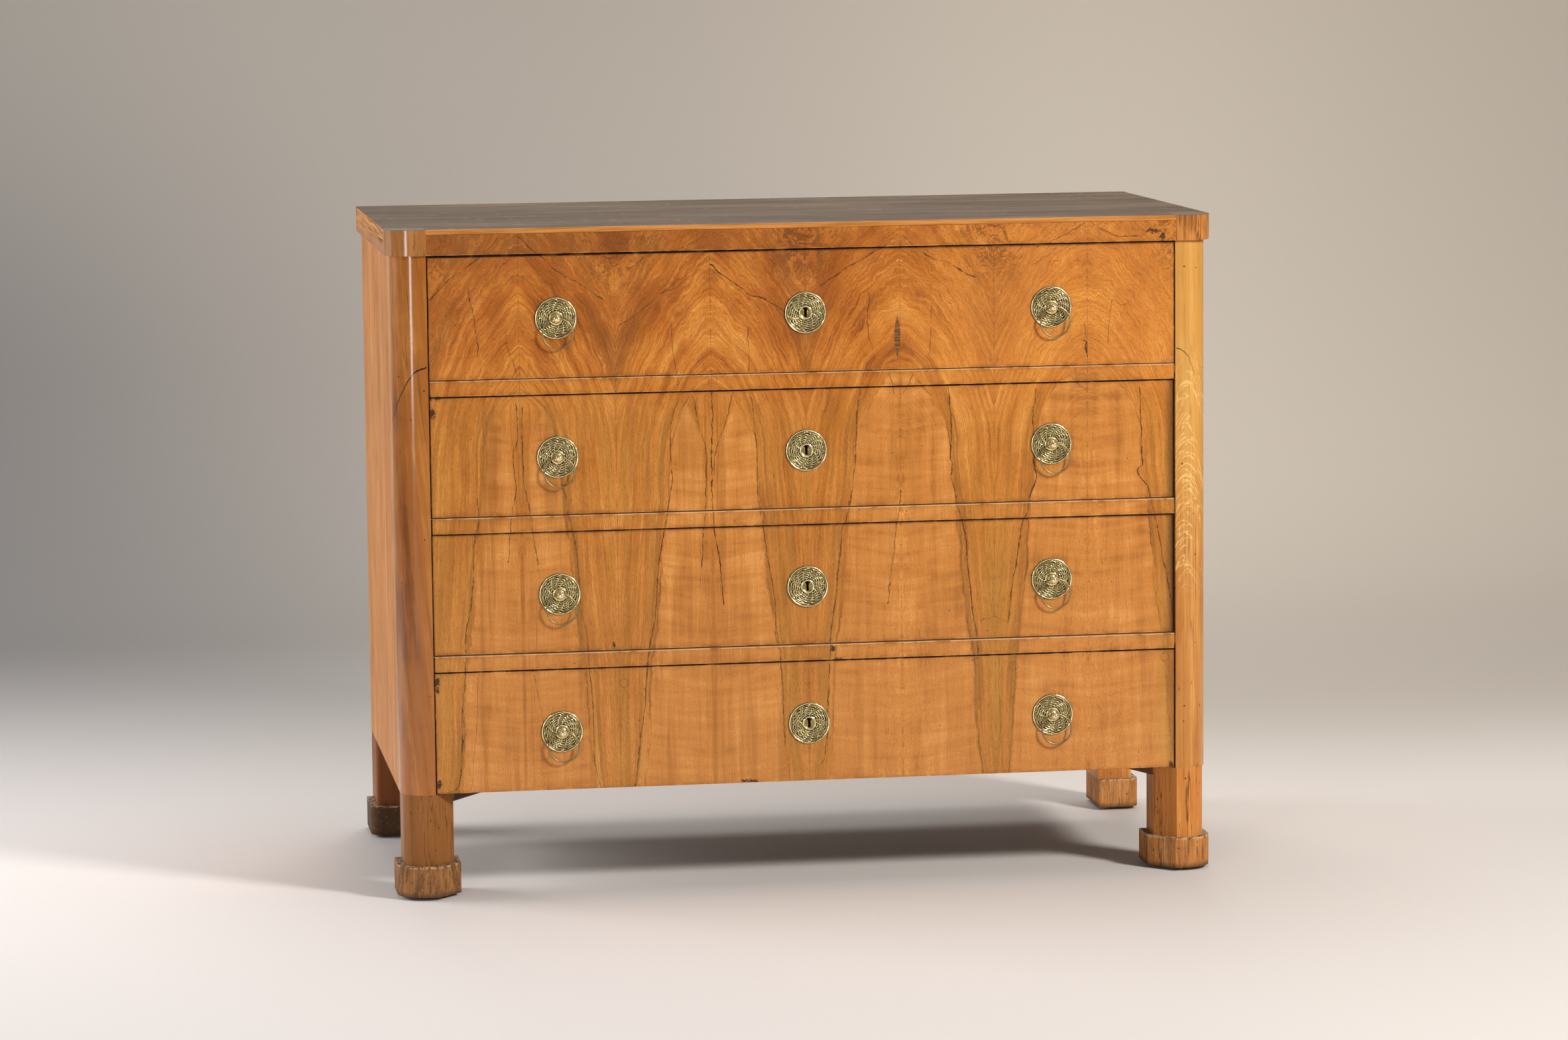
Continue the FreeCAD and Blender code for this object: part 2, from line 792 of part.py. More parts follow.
def make_drawer(index, patterns):
    """Every piece of one drawer, with its pulls and lock."""
    word = "drawer_%d_" % (index + 1)
    face = faces[index]
    low = floors[index] + s.drawer_gap
    high = ceilings[index] - s.drawer_gap
    outer = half_bay - s.drawer_gap
    inner = outer - s.drawer_side_thick
    shoulder = face + s.front_thick
    rear = back_inner - s.rear_room
    rear_inner = rear - s.drawer_back_thick
    side_low = ledges[index] + s.run_gap
    side_high = ceilings[index] - s.side_drop
    panel_low = side_low + s.panel_raise
    panel_high = panel_low + s.panel_thick
    rosette_line = (low + high) / 2 - s.rosette_drop

    panel = box(word + "panel", both_ways(inner + s.groove_deep), (shoulder - s.groove_deep, rear),
                (panel_low, panel_high))
    front_tails = tails((shoulder - s.lap_long, shoulder), (side_low, side_high), True)
    rear_tails = tails((rear_inner, rear), (panel_high, side_high), False)
    side_board = box(word + "side_board", (inner, outer), (shoulder, rear_inner),
                     (side_low, side_high))
    side_toe = box(word + "side_toe", (inner, outer), (rear_inner, rear), (side_low, panel_high))
    side = cut(word + "side", fuse(word + "side_blank",
                                   [side_board, side_toe, front_tails, rear_tails]), [panel])
    node(word + "sides", gather(word + "side_pair", [side, mirror(word + "side_left", side)]))
    node(word + "bottom", panel)

    back_board = box(word + "back_board", both_ways(outer), (rear_inner, rear),
                     (panel_high, side_high))
    node(word + "back", cut(word + "back_cut", back_board,
                            [rear_tails, mirror(word + "rear_tails_left", rear_tails)]))

    def at_lock(thing):
        return place(gather(word + "at_lock", [thing]), ZERO, face, high)

    def at_pull(thing, x):
        return place(gather(word + "at_pull", [thing]), x, face, rosette_line, FACING_BACK)

    lock_front = shoulder - s.lock_deep
    key_level = rosette_line + s.key_rise
    key_room = keyhole(word + "keyhole", (face - s.overrun, lock_front + s.cap_thick + s.overrun),
                       key_level)
    lock_blank, lock_rooms = patterns["lock"]
    placed_blank = at_lock(lock_blank)
    lock_tools = [at_lock(room) for room in lock_rooms] + [key_room]
    node(word + "lock_case", cut(word + "lock", placed_blank, lock_tools))
    node(word + "lock_bolt", at_lock(patterns["bolt"]))

    pulls = both_ways(half_bay - s.pull_inset)
    shank_holes = [at_pull(patterns["shank_hole"], x) for x in pulls]
    front_board = box(word + "front_board", both_ways(outer), (face, shoulder), (low, high))
    node(word + "front", cut(word + "front_cut", front_board, [
        front_tails, mirror(word + "front_tails_left", front_tails), panel, placed_blank, key_room,
    ] + shank_holes))

    node(word + "escutcheon",
         cut(word + "key_plate", at_pull(patterns["rosette"], ZERO), [key_room]))
    node(word + "pull_plates", gather(word + "plates", [at_pull(patterns["plate"], x)
                                                        for x in pulls]))
    node(word + "pull_posts", gather(word + "posts", [at_pull(patterns[kind], x)
                                                      for kind in ("post", "nut") for x in pulls]))
    for side_name, x, lean in zip(("left", "right"), pulls, (s.lean_left, s.lean_right)):
        hung = gather(word + "ring_" + side_name, [patterns["ring"]])
        place(hung, x + s.ring_radius * sine(lean), face - s.ring_stand,
              rosette_line - s.ring_radius * cosine(lean) + s.ring_lift, FACING_BACK)
        node(word + "ring_" + side_name, hung)


def make_drawers():
    blank = rosette()
    shank_hole = prism("shank_hole", POST_SIDES, s.shank_radius + s.shank_fit,
                       s.front_thick + 2 * s.overrun)
    patterns = {
        "rosette": blank,
        "plate": pull_plate(blank),
        "shank_hole": place(shank_hole, z=-s.overrun),
        "post": ball_post(),
        "nut": nut(),
        "ring": ring(),
        "lock": lock(),
        "bolt": bolt(),
    }
    for index in range(len(BAYS)):
        make_drawer(index, patterns)


def check_model():
    """Stops at anything that failed, and at any cut that took nothing away."""
    for thing in document.Objects:
        state = " ".join(thing.State)
        if "Invalid" in state or "Error" in state:
            raise RuntimeError("%s failed: %s" % (thing.Label, state))
        if thing.TypeId == "Part::Cut" and thing.Shape.Volume >= thing.Base.Shape.Volume:
            raise RuntimeError("%s cut nothing" % thing.Label)
    for thing in nodes:
        if thing.Shape.isNull() or not thing.Shape.isValid() or not thing.Shape.Solids:
            raise RuntimeError("%s has no sound shape" % thing.Label)


def write_parts():
    os.makedirs("parts", exist_ok=True)
    for thing in nodes:
        thing.Shape.exportStep("parts/%s.step" % thing.Label)
    whole = nodes[0].Shape.BoundBox
    for thing in nodes:
        whole.add(thing.Shape.BoundBox)
    print("%d pieces, box x %.2f to %.2f, y %.2f to %.2f, z %.2f to %.2f" % (
        len(nodes), whole.XMin, whole.XMax, whole.YMin, whole.YMax, whole.ZMin, whole.ZMax))


make_top()
make_carcase()
make_runners()
make_legs()
make_drawers()
document.recompute()
check_model()
write_parts()
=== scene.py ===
"""Looks for an antique veneered chest of drawers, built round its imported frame."""
import math

import bmesh
import bpy
from mathutils import Euler, Matrix, Vector


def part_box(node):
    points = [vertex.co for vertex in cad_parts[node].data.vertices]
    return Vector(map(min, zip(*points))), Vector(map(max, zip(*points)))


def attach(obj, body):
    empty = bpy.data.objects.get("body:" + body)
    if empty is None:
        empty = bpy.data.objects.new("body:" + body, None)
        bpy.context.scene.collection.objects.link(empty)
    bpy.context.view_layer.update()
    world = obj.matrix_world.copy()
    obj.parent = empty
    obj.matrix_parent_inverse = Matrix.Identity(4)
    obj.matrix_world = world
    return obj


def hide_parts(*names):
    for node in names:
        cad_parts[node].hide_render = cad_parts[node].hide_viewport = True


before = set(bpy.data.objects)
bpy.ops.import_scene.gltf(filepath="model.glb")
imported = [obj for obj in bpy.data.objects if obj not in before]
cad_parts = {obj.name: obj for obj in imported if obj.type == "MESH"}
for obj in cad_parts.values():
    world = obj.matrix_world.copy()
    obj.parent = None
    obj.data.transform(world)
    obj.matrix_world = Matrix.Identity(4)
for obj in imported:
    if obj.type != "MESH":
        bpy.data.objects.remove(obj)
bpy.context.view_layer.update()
MM = 0.001
DRAWERS = (1, 2, 3, 4)
SOOT = (0.03, 0.012, 0.006)

# Places on the chest, in mm
CASE_FRONT, CASE_BACK = -277.5, 297.5
LEAF = 132.8                  # width of a veneer leaf
SEAM = 132.8                  # x of a seam where the grain lines meet in a peak
LIPPING = 922.0               # lower edge of the thin strip along the top's front
UPPER_FACE = (928.3, 928.7)   # heights between which the top's edge turns into its upper face


# Node trees

class Wire:
    """A number, vector or colour in a material. Work on it adds nodes."""

    def __init__(self, net, socket):
        self.net, self.socket = net, socket

    def __add__(self, other):
        return self.net.math("ADD", self, other)

    def __sub__(self, other):
        return self.net.math("SUBTRACT", self, other)

    def __rsub__(self, other):
        return self.net.math("SUBTRACT", other, self)

    def __mul__(self, other):
        return self.net.math("MULTIPLY", self, other)

    def __truediv__(self, other):
        return self.net.math("DIVIDE", self, other)

    def __pow__(self, other):
        return self.net.math("POWER", self, other)

    def __abs__(self):
        return self.net.math("ABSOLUTE", self)

    def span(self, low, high, start=0.0, end=1.0, smooth=True):
        """This value from low..high brought to start..end, and held there."""
        made = self.net.node("MapRange", {"Value": self, "From Min": low, "From Max": high,
                                          "To Min": start, "To Max": end})
        if smooth:
            made.interpolation_type = "SMOOTHSTEP"
        return Wire(self.net, made.outputs["Result"])

    def fall(self, low, high):
        """1 up to low, falling to 0 at high."""
        return self.span(low, high, 1.0, 0.0)

    def near(self, middle, reach):
        """1 at middle, falling to 0 at reach from it."""
        return abs(self - middle).fall(0.0, reach)

    def within(self, low, high, soft):
        """1 between low and high, falling to 0 over soft outside them."""
        return self.span(low - soft, low) * self.fall(high, high + soft)

    def spread(self, reach):
        """Noise within reach of 0.5 brought to 0..1."""
        return self.span(0.5 - reach, 0.5 + reach, smooth=False)

    def drawn(self, points):
        """A drawn function of this share: its (share, height) points all lie from 0 to 1."""
        made = self.net.node("FloatCurve", {"Value": self})
        line = made.mapping.curves[0].points
        while len(line) < len(points):
            line.new(0.5, 0.5)
        for spot, place in zip(line, points):
            spot.location = place
            spot.handle_type = "AUTO_CLAMPED"
        made.mapping.update()
        return Wire(self.net, made.outputs[0])

    def curve(self, *points):
        """A drawn function of this value, through points, smooth between them."""
        low, high = points[0][0], points[-1][0]
        heights = [height for _, height in points]
        least, most = min(heights), max(heights)
        line = self.span(low, high, smooth=False).drawn(
            [((where - low) / (high - low), (height - least) / (most - least))
             for where, height in points])
        return self.net.math("MULTIPLY_ADD", line, most - least, least)

    def ramp(self, *stops):
        """Colours along this value, from (place, colour) stops."""
        made = self.net.node("ValToRGB", {"Fac": self})
        made.color_ramp.interpolation = "EASE"
        line = made.color_ramp.elements
        while len(line) < len(stops):
            line.new(0.5)
        for spot, (where, colour) in zip(line, stops):
            spot.position = where
            spot.color = (*colour, 1.0)
        return Wire(self.net, made.outputs["Color"])

    def stretched(self, scale):
        made = self.net.node("VectorMath")
        made.operation = "MULTIPLY"
        self.net.put(made.inputs[0], self)
        made.inputs[1].default_value = scale if isinstance(scale, tuple) else (scale,) * 3
        return Wire(self.net, made.outputs[0])

    def noise(self, scale, detail=2.0, rough=0.5, warp=0.0):
        """Noise about 0.5, with scale in features per millimetre, along each axis or all."""
        made = self.net.node("TexNoise", {"Vector": self.stretched(scale), "Scale": 1.0,
                                          "Detail": detail, "Roughness": rough,
                                          "Distortion": warp})
        return Wire(self.net, made.outputs["Fac"])

    def cells(self, scale):
        """Distance to the nearest of scattered points, and that point's own random number."""
        made = self.net.node("TexVoronoi", {"Vector": self.stretched(scale), "Scale": 1.0})
        number = self.net.node("SeparateColor", {"Color": made.outputs["Color"]})
        return Wire(self.net, made.outputs["Distance"]), Wire(self.net, number.outputs[0])


class Net:
    """The node tree of one material, with the rest position in millimetres as x, y and z, and
    the colour laid so far as colour."""

    def __init__(self, name):
        self.material = bpy.data.materials.new(name)
        self.material.use_nodes = True
        self.tree = self.material.node_tree
        self.tree.nodes.clear()
        place = self.node("TexCoord")
        scaled = self.node("VectorMath", {"Vector": place.outputs["Object"]})
        scaled.operation = "SCALE"
        scaled.inputs["Scale"].default_value = 1 / MM
        self.place = Wire(self, scaled.outputs[0])
        self.x, self.y, self.z = self.apart(self.place)
        self.facing = self.apart(Wire(self, place.outputs["Normal"]))
        self.colour = None

    def node(self, kind, values=None):
        made = self.tree.nodes.new("ShaderNode" + kind)
        for name, value in (values or {}).items():
            self.put(made.inputs[name], value)
        return made

    def put(self, socket, value):
        if isinstance(value, Wire):
            value = value.socket
        if isinstance(value, bpy.types.NodeSocket):
            self.tree.links.new(value, socket)
        elif isinstance(value, tuple) and len(value) == 3 and socket.type == "RGBA":
            socket.default_value = (*value, 1.0)
        else:
            socket.default_value = value

    def math(self, operation, *values):
        made = self.node("Math")
        made.operation = operation
        for socket, value in zip(made.inputs, values):
            self.put(socket, value)
        return Wire(self, made.outputs[0])

    def most(self, a, b):
        return self.math("MAXIMUM", a, b)

    def least(self, a, b):
        return self.math("MINIMUM", a, b)

    def apart(self, vector):
        made = self.node("SeparateXYZ", {"Vector": vector})
        return [Wire(self, socket) for socket in made.outputs]

    def vector(self, x, y, z=0.0):
        made = self.node("CombineXYZ", {"X": x, "Y": y, "Z": z})
        return Wire(self, made.outputs[0])

    def solid(self, scale, *shape):
        """Noise through the whole piece, by its rest position."""
        return self.place.noise(scale, *shape)

    def jitter(self):
        """A small uneven shift in millimetres, for ragged lines."""
        return (self.solid(0.11, 3.0, 0.6) - 0.5) * 5.0

    def mix(self, share, a, b):
        made = self.node("Mix")
        made.data_type = "RGBA"
        for place, value in ((0, share), (6, a), (7, b)):
            self.put(made.inputs[place], value)
        return Wire(self, made.outputs[2])

    def lay(self, share, tone):
        """Lays a tone over the colour so far."""
        self.colour = self.mix(share, self.colour, tone)

    def done(self, roughness, height, metallic=0.0, coat=0.0, coat_roughness=0.2,
             specular=0.5):
        """The finished material. Height is in millimetres."""
        shader = self.node("BsdfPrincipled", {
            "Base Color": self.colour, "Roughness": roughness, "Metallic": metallic,
            "Coat Weight": coat, "Coat Roughness": coat_roughness,
            "Specular IOR Level": specular})
        bump = self.node("Bump", {"Height": height, "Strength": 1.0, "Distance": MM})
        self.put(shader.inputs["Normal"], bump.outputs[0])
        self.node("OutputMaterial", {"Surface": shader.outputs[0]})
        return self.material


# Strokes drawn in the veneer, dark cracks and mineral lines: each has a width in mm, a strength
# and its points. DOWN gives x for each z, and ACROSS gives z for each x.

DOWN = [
    (1.5, 0.9, 852, -467, 835, -466, 815, -461, 790, -458, 765, -455, 752, -456),
    (1.2, 0.6, 782, -418, 764, -414, 752, -410, 735, -404, 718, -403),
    (1, 0.4, 764, -383, 740, -386, 722, -388),
    (1, 0.5, 772, -341, 755, -342, 742, -343),
    (1.3, 0.7, 805, -190, 790, -187, 765, -186, 745, -184, 725, -181, 708, -178),
    (1, 0.5, 752, -146, 735, -143, 722, -138, 704, -136),
    (1.2, 0.7, 790, -78, 775, -81, 750, -79, 722, -82),
    (1, 0.5, 738, -122, 722, -125, 708, -126),
    (1.4, 0.8, 832, 86, 815, 90, 800, 87, 775, 88, 755, 93, 733, 96),
    (1.2, 0.6, 815, 178, 790, 177, 765, 176, 738, 171),
    (1, 0.5, 772, 144, 755, 147, 738, 150),
    (1.1, 0.6, 784, 392, 770, 395, 757, 397),
    (3.2, 1, 757, 397.5, 745, 397, 732, 398),
    (1.1, 0.6, 815, 433, 790, 431, 765, 428, 750, 427),
    (1.3, 0.8, 690, -404, 640, -402, 615, -409, 590, -407, 570, -405, 540, -411, 510, -415,
     466, -418),
    (1.3, 0.9, 684, -395, 640, -396, 600, -395, 570, -393, 545, -388, 515, -384, 480, -379,
     448, -375),
    (1, 0.5, 698, -448, 660, -450, 620, -445, 585, -448),
    (1.7, 0.8, 560, -461, 530, -458, 505, -463, 450, -466, 410, -470, 370, -478, 340, -479,
     300, -481, 260, -485, 200, -487, 150, -497),
    (1.5, 0.7, 575, -343, 560, -338, 530, -333, 500, -326, 460, -321, 420, -319, 390, -316,
     360, -309, 320, -308, 280, -304, 240, -303, 200, -303, 160, -297, 146, -293),
    (1.7, 0.8, 690, -178, 665, -186, 640, -190, 600, -190, 580, -188, 560, -191, 530, -196,
     500, -201, 470, -207, 430, -211, 400, -213, 370, -217, 345, -223, 300, -228, 260, -231,
     220, -237, 170, -243, 146, -246),
    (1.5, 0.8, 694, -161, 665, -153, 645, -149, 625, -142, 600, -140, 570, -141, 540, -142,
     500, -146, 470, -147, 440, -150, 424, -151),
    (1.6, 1, 700, -131.5, 655, -131, 600, -133, 560, -133, 520, -131, 500, -130, 480, -126,
     450, -122, 420, -120, 398, -118),
    (1.4, 0.7, 697, -103, 670, -108, 650, -114, 630, -122, 610, -128, 580, -131),
    (1.5, 0.7, 690, -78, 640, -72, 610, -69, 560, -69, 530, -66, 500, -61, 460, -55, 430, -50,
     400, -46, 370, -45, 345, -42, 320, -40, 280, -37, 230, -36, 196, -34),
    (1.7, 0.8, 700, 76, 660, 72, 620, 70, 590, 68, 560, 65, 535, 60, 515, 55, 500, 50, 470, 47,
     440, 43, 410, 41, 380, 36, 350, 32, 300, 29, 250, 27, 200, 24, 168, 14),
    (1.5, 0.8, 556, 133, 535, 131, 515, 128, 490, 125, 450, 120, 420, 116, 392, 112),
    (1.8, 0.9, 700, 199, 670, 203, 650, 205, 610, 204, 600, 203, 585, 206, 570, 204, 557, 208,
     530, 212, 505, 220, 480, 225, 460, 226, 430, 229, 400, 232, 370, 235, 350, 239, 310, 240),
    (1.9, 0.9, 690, 326, 650, 321, 620, 322, 590, 322, 580, 322, 568, 326, 555, 322, 535, 315,
     515, 311, 500, 305, 470, 300, 440, 296, 420, 291, 395, 288, 375, 286, 361, 285),
    (1, 0.6, 452, 262, 420, 263.5, 400, 263, 370, 264),
    (1.8, 0.8, 690, 473, 650, 475, 620, 476, 595, 477, 580, 478, 572, 470, 562, 474, 550, 484,
     525, 490, 500, 497, 470, 503, 445, 507, 420, 513, 395, 517, 370, 521, 340, 523),
    (1.3, 0.7, 718, 113, 708, 119, 700, 122, 690, 124, 682, 130, 668, 133),
    (1.2, 0.6, 716, 150, 705, 146, 695, 141, 687, 134),
    (1.2, 0.5, 718, 379, 705, 383, 695, 386, 690, 392, 684, 398),
    (1, 0.5, 310, -463, 250, -465, 200, -470, 150, -477),
    (1.1, 0.5, 318, 271, 280, 270, 230, 272, 180, 274, 146, 276),
    (1, 0.5, 312, -385, 300, -383, 240, -372, 190, -366),
]
ACROSS = [
    (1.8, 0.9, -524, 829, -505, 848, -490, 862, -470, 876, -455, 886, -445, 895, -430, 910,
     -421, 921),
    (1.7, 0.9, -398, 917, -385, 905, -372, 893, -362, 886, -350, 873, -335, 863, -320, 855,
     -305, 845, -293, 836, -278, 824),
    (1.3, 0.6, -188, 889, -170, 898, -155, 905, -145, 911, -135, 919),
    (1.3, 0.6, -264, 788, -245, 800, -225, 815, -200, 835, -180, 850, -160, 864, -140, 880,
     -133, 886),
    (1.2, 0.5, -204, 832, -180, 842, -160, 858, -145, 868, -133, 874),
    (1.9, 1, -133, 874, -120, 862, -105, 852, -90, 840, -75, 829, -62, 826, -50, 820, -35, 810,
     -29, 805),
    (1.2, 0.6, -133, 866, -115, 852, -95, 838, -75, 822, -62, 808),
    (1.8, 0.8, -77, 917, -66, 905, -58, 895, -50, 882, -40, 868),
    (1.7, 0.9, 18, 836, 33, 848, 45, 855, 57, 864, 68, 870, 80, 876, 95, 885, 110, 893, 120, 902,
     131, 911),
    (1.7, 0.9, 133, 910, 145, 900, 155, 891, 170, 881, 185, 873, 200, 870, 215, 860, 228, 852,
     243, 844),
    (1.5, 0.7, 326, 886, 340, 893, 355, 900, 370, 907, 385, 915, 397, 923),
    (1.2, 0.6, 316, 858, 330, 868, 345, 878, 356, 886),
    (1.5, 0.7, 272, 864, 278, 872, 290, 871, 298, 876, 303, 885, 312, 894),
    (1.6, 0.8, 399, 923, 415, 913, 430, 906, 445, 900, 460, 901, 477, 898),
    (1.5, 0.7, 500, 888, 508, 884, 514, 876, 523, 864),
    (1.5, 0.8, -254, 892, -250, 878, -247, 870, -238, 873, -228, 882, -220, 889),
    (1.2, 0.6, 432, 811, 440, 810, 447, 804, 456, 807, 463, 812),
    (1.1, 0.6, 244, 364, 255, 368, 264, 370, 275, 366, 286, 361),
]
SHEET = 1200.0        # width of the strokes' own sheet, in mm, with its left edge at -600
CURVE_STEP = 0.004    # share of a sheet over which a stroke's curve drops to its edge
# Upper and lower edges of the gaps between drawer fronts and rails
LEVELS = [(893.5, 892.3), (722.05, 720.85), (699.35, 698.15), (532.25, 531.05),
          (509.55, 508.35), (340.65, 339.45), (317.95, 316.75), (148.0, 145.6)]
# Chips and old losses, by x, z, half width and half height, and round plugs by x and z
CHIPS = [(-514, 698, 22, 7), (-519, 676, 8, 16), (34, 334, 9, 9), (40, 319, 14, 3),
         (-84, 150, 34, 5), (198, 147, 15, 3), (-272, 347, 5, 10), (518, 152, 8, 9),
         (-386, 316, 10, 3), (-519, 300, 7, 26), (-519, 160, 7, 14), (492, 908, 20, 7),
         (505, 900, 9, 12)]
PLUGS = [(-259.7, 294.3), (291.3, 299.6), (508.5, 305.7)]


def draw_strokes(run, side, low, high, strokes, rough):
    """Dark lines, each one side for each run from low to high, with ragged widths."""
    net = run.net
    share = run.span(low, high, smooth=False)
    across = (side + SHEET / 2) * (1 / SHEET)
    total = None
    widths = {}
    for wide, strength, *flat in strokes:
        if wide not in widths:
            widths[wide] = rough * (wide / SHEET)
        line = sorted(((r - low) / (high - low), (v + SHEET / 2) / SHEET)
                      for r, v in zip(flat[::2], flat[1::2]))
        start, end = line[0][0], line[-1][0]
        if start > 3 * CURVE_STEP:
            line = [(0.0, 0.0), (start - CURVE_STEP, 0.0)] + line
        if end < 1 - 3 * CURVE_STEP:
            line = line + [(end + CURVE_STEP, 0.0), (1.0, 0.0)]
        on = net.math("COMPARE", across, share.drawn(line), widths[wide])
        total = on * strength if total is None else net.math("MULTIPLY_ADD", on, strength, total)
    return total


# Veneer that runs through the front, book-matched leaf by leaf

def front_veneer():
    net = Net("walnut_veneer")
    x, z = net.x, net.z
    u = net.math("PINGPONG", x - SEAM, LEAF)
    pair = net.vector(u, z, x * 0.25)
    flat = net.vector(x, z)

    # How far out the nested arches stand, which turn into upright lines lower down
    slow = pair.noise(0.012)
    settle = z.curve((140, -44), (200, -38), (300, -33), (345, -28), (400, -20), (500, -12),
                     (600, -2), (660, 0), (930, 0))
    out = net.most(u + settle + x * -0.03 + (slow - 0.5) * 9.0, 0.5)
    rise = net.most(z - 622.0 + (slow - 0.5) * 24.0, 0.5)
    arch = ((rise ** 1.6) + ((out * 1.53) ** 1.6)) ** (1 / 1.6)
    shake = pair.noise((0.05, 0.035, 0.03), 4.0, 0.62) - 0.5
    arch = arch + shake * z.span(650, 860, 10.0, 30.0)
    left_half = x.span(10, -60, smooth=False)
    wedge = left_half * arch.span(100, 80) * z.span(715, 690)
    line = net.math("MULTIPLY_ADD", u * 1.53 - arch, wedge, arch) + u * 0.42
    along = net.vector(line, z, x * 0.3 + u * 0.5)

    high = z.span(660, 735)
    inside = (arch + shake * 10.0).fall(90.0, 97.0)
    spear = z.curve((140, 0), (420, 2), (520, 6), (560, 8), (620, 12), (650, 20), (690, 40),
                    (710, 70))
    inside = inside * (u - spear * left_half).span(-2.0, 4.0)

    bands = along.noise((0.035, 0.003, 0.004), 3.0, 0.6).spread(0.16)
    streaks = along.noise((0.16, 0.006, 0.006), 3.0, 0.62).spread(0.18)
    fine = along.noise((0.9, 0.02, 0.02), 2.0, 0.6).spread(0.2)
    cloud = pair.noise((0.018, 0.012, 0.02), 4.0, 0.6).spread(0.16)
    mottle = net.solid(0.014, 3.0, 0.5).spread(0.2)
    pores = flat.noise((1.9, 0.35, 1.0), 2.0, 0.7)

    # Feathered wood above, streaked wood between the arches, smooth rippled wood inside them
    grit = flat.noise((1.1, 0.8, 1.0), 3.0, 0.7).spread(0.2)
    tone = bands * 0.24 + streaks * 0.25 + cloud * 0.2 + fine * 0.23 + mottle * 0.08
    figured = tone.ramp((0.22, (0.2, 0.046, 0.005)), (0.41, (0.44, 0.122, 0.012)),
                        (0.58, (0.6, 0.2, 0.025)), (0.78, (0.76, 0.33, 0.06)))
    lower = tone.ramp((0.2, (0.27, 0.086, 0.01)), (0.41, (0.47, 0.16, 0.021)),
                      (0.58, (0.59, 0.222, 0.036)), (0.78, (0.73, 0.32, 0.07)))
    net.colour = net.mix(high, lower, figured)
    net.lay(high * x.span(60, 260) * 0.42, (0.7, 0.27, 0.05))
    ripple = net.vector(u, z - u * 0.12, x * 0.3)
    ripple = ripple.noise((0.011, 0.085, 0.01), 2.0, 0.5, 0.3).spread(0.2)
    grain = pair.noise((0.06, 0.004, 0.02), 4.0, 0.6).spread(0.2)
    soft_tone = ripple * 0.25 + grain * 0.3 + cloud * 0.11 + mottle * 0.12 + fine * 0.22
    salmon = soft_tone.ramp((0.25, (0.38, 0.13, 0.02)), (0.5, (0.58, 0.22, 0.042)),
                            (0.76, (0.73, 0.325, 0.085)))
    net.lay(inside * 0.92, salmon)
    net.lay(z.span(620, 160) * 0.26, (0.6, 0.265, 0.088))
    left = x.span(380, -420, 0.22, 1.0, smooth=False)
    vein = net.vector(u, z, x * 0.6).noise((0.055, 0.0022, 0.02), 4.0, 0.62)
    vein = vein.span(0.5, 0.64) * left * z.span(720, 660)
    net.lay(vein * 0.55, (0.32, 0.112, 0.015))

    # Brown mineral streaks along the arches' edges, and olive ones down the soft seams
    rim = arch.within(94, 116, 14) * (1.0 - inside) * z.span(712, 640)
    mineral = rim * along.noise((0.1, 0.004, 0.012), 3.0, 0.6).span(0.46, 0.62)
    net.lay(mineral * 0.62, (0.27, 0.125, 0.022))
    olive = (u.span(70, 128) * z.span(690, 600)
             * pair.noise((0.06, 0.003, 0.02), 3.0).span(0.44, 0.6))
    net.lay(olive * 0.42, (0.36, 0.19, 0.026))
    edge = (arch + shake * 10.0).near(96.0, 2.2) * z.span(715, 695)
    edge = edge * pair.noise((0.03, 0.02, 0.03), 2.0).span(0.4, 0.62)

    # Duskier, redder wood above the peaks and down the soft seams, with the crotch at its top
    swirl = pair.noise((0.03, 0.024, 0.03), 5.0, 0.68, 1.9)
    dusk = arch.span(205, 300) * x.span(330, -60, 0.25, 1.0)
    vee = (u + (z - 893.0) * 0.36).span(62, 118) * z.span(715, 790)
    red = net.most(vee * x.span(380, 0, 0.3, 1.0), dusk * 0.8)
    red = red * cloud.span(1.0, 0.0, 0.4, 1.0)
    net.lay(red * 0.75, (0.34, 0.085, 0.01))
    haze = net.vector(line, u, z).noise((0.022, 0.012, 0.012), 4.0, 0.65)
    smoke = haze.span(0.46, 0.68) * net.most(dusk, z.span(720, 800) * 0.5 * left)
    net.lay(smoke * 0.72, (0.2, 0.072, 0.012))
    hair = along.noise((0.085, 0.004, 0.006), 3.0, 0.7)
    hairline = hair.near(0.5, 0.02) * z.span(690, 740) * cloud.span(0.15, 0.7)
    net.lay(hairline * 0.4, (0.82, 0.4, 0.1))
    dark_hair = hair.near(0.575, 0.022) * z.span(690, 740) * mottle.span(0.25, 0.75)
    net.lay(dark_hair * 0.42, (0.26, 0.075, 0.01))
    knot = u.span(74, 122) * z.span(800, 885) + z.span(893, 915) * 0.55
    curl = swirl.near(0.53, 0.04) + swirl.near(0.64, 0.045)
    net.lay(net.least(knot * curl, 1.0) * 0.78, (0.105, 0.03, 0.006))
    middle = (x + 14).near(0, 62) * z.span(832, 900) * swirl.span(0.44, 0.6)
    net.lay(middle * 0.72, (0.1, 0.03, 0.008))
    aged = z.span(890, 896) * x.span(150, -480)
    net.lay(aged * 0.42, (0.17, 0.055, 0.01))

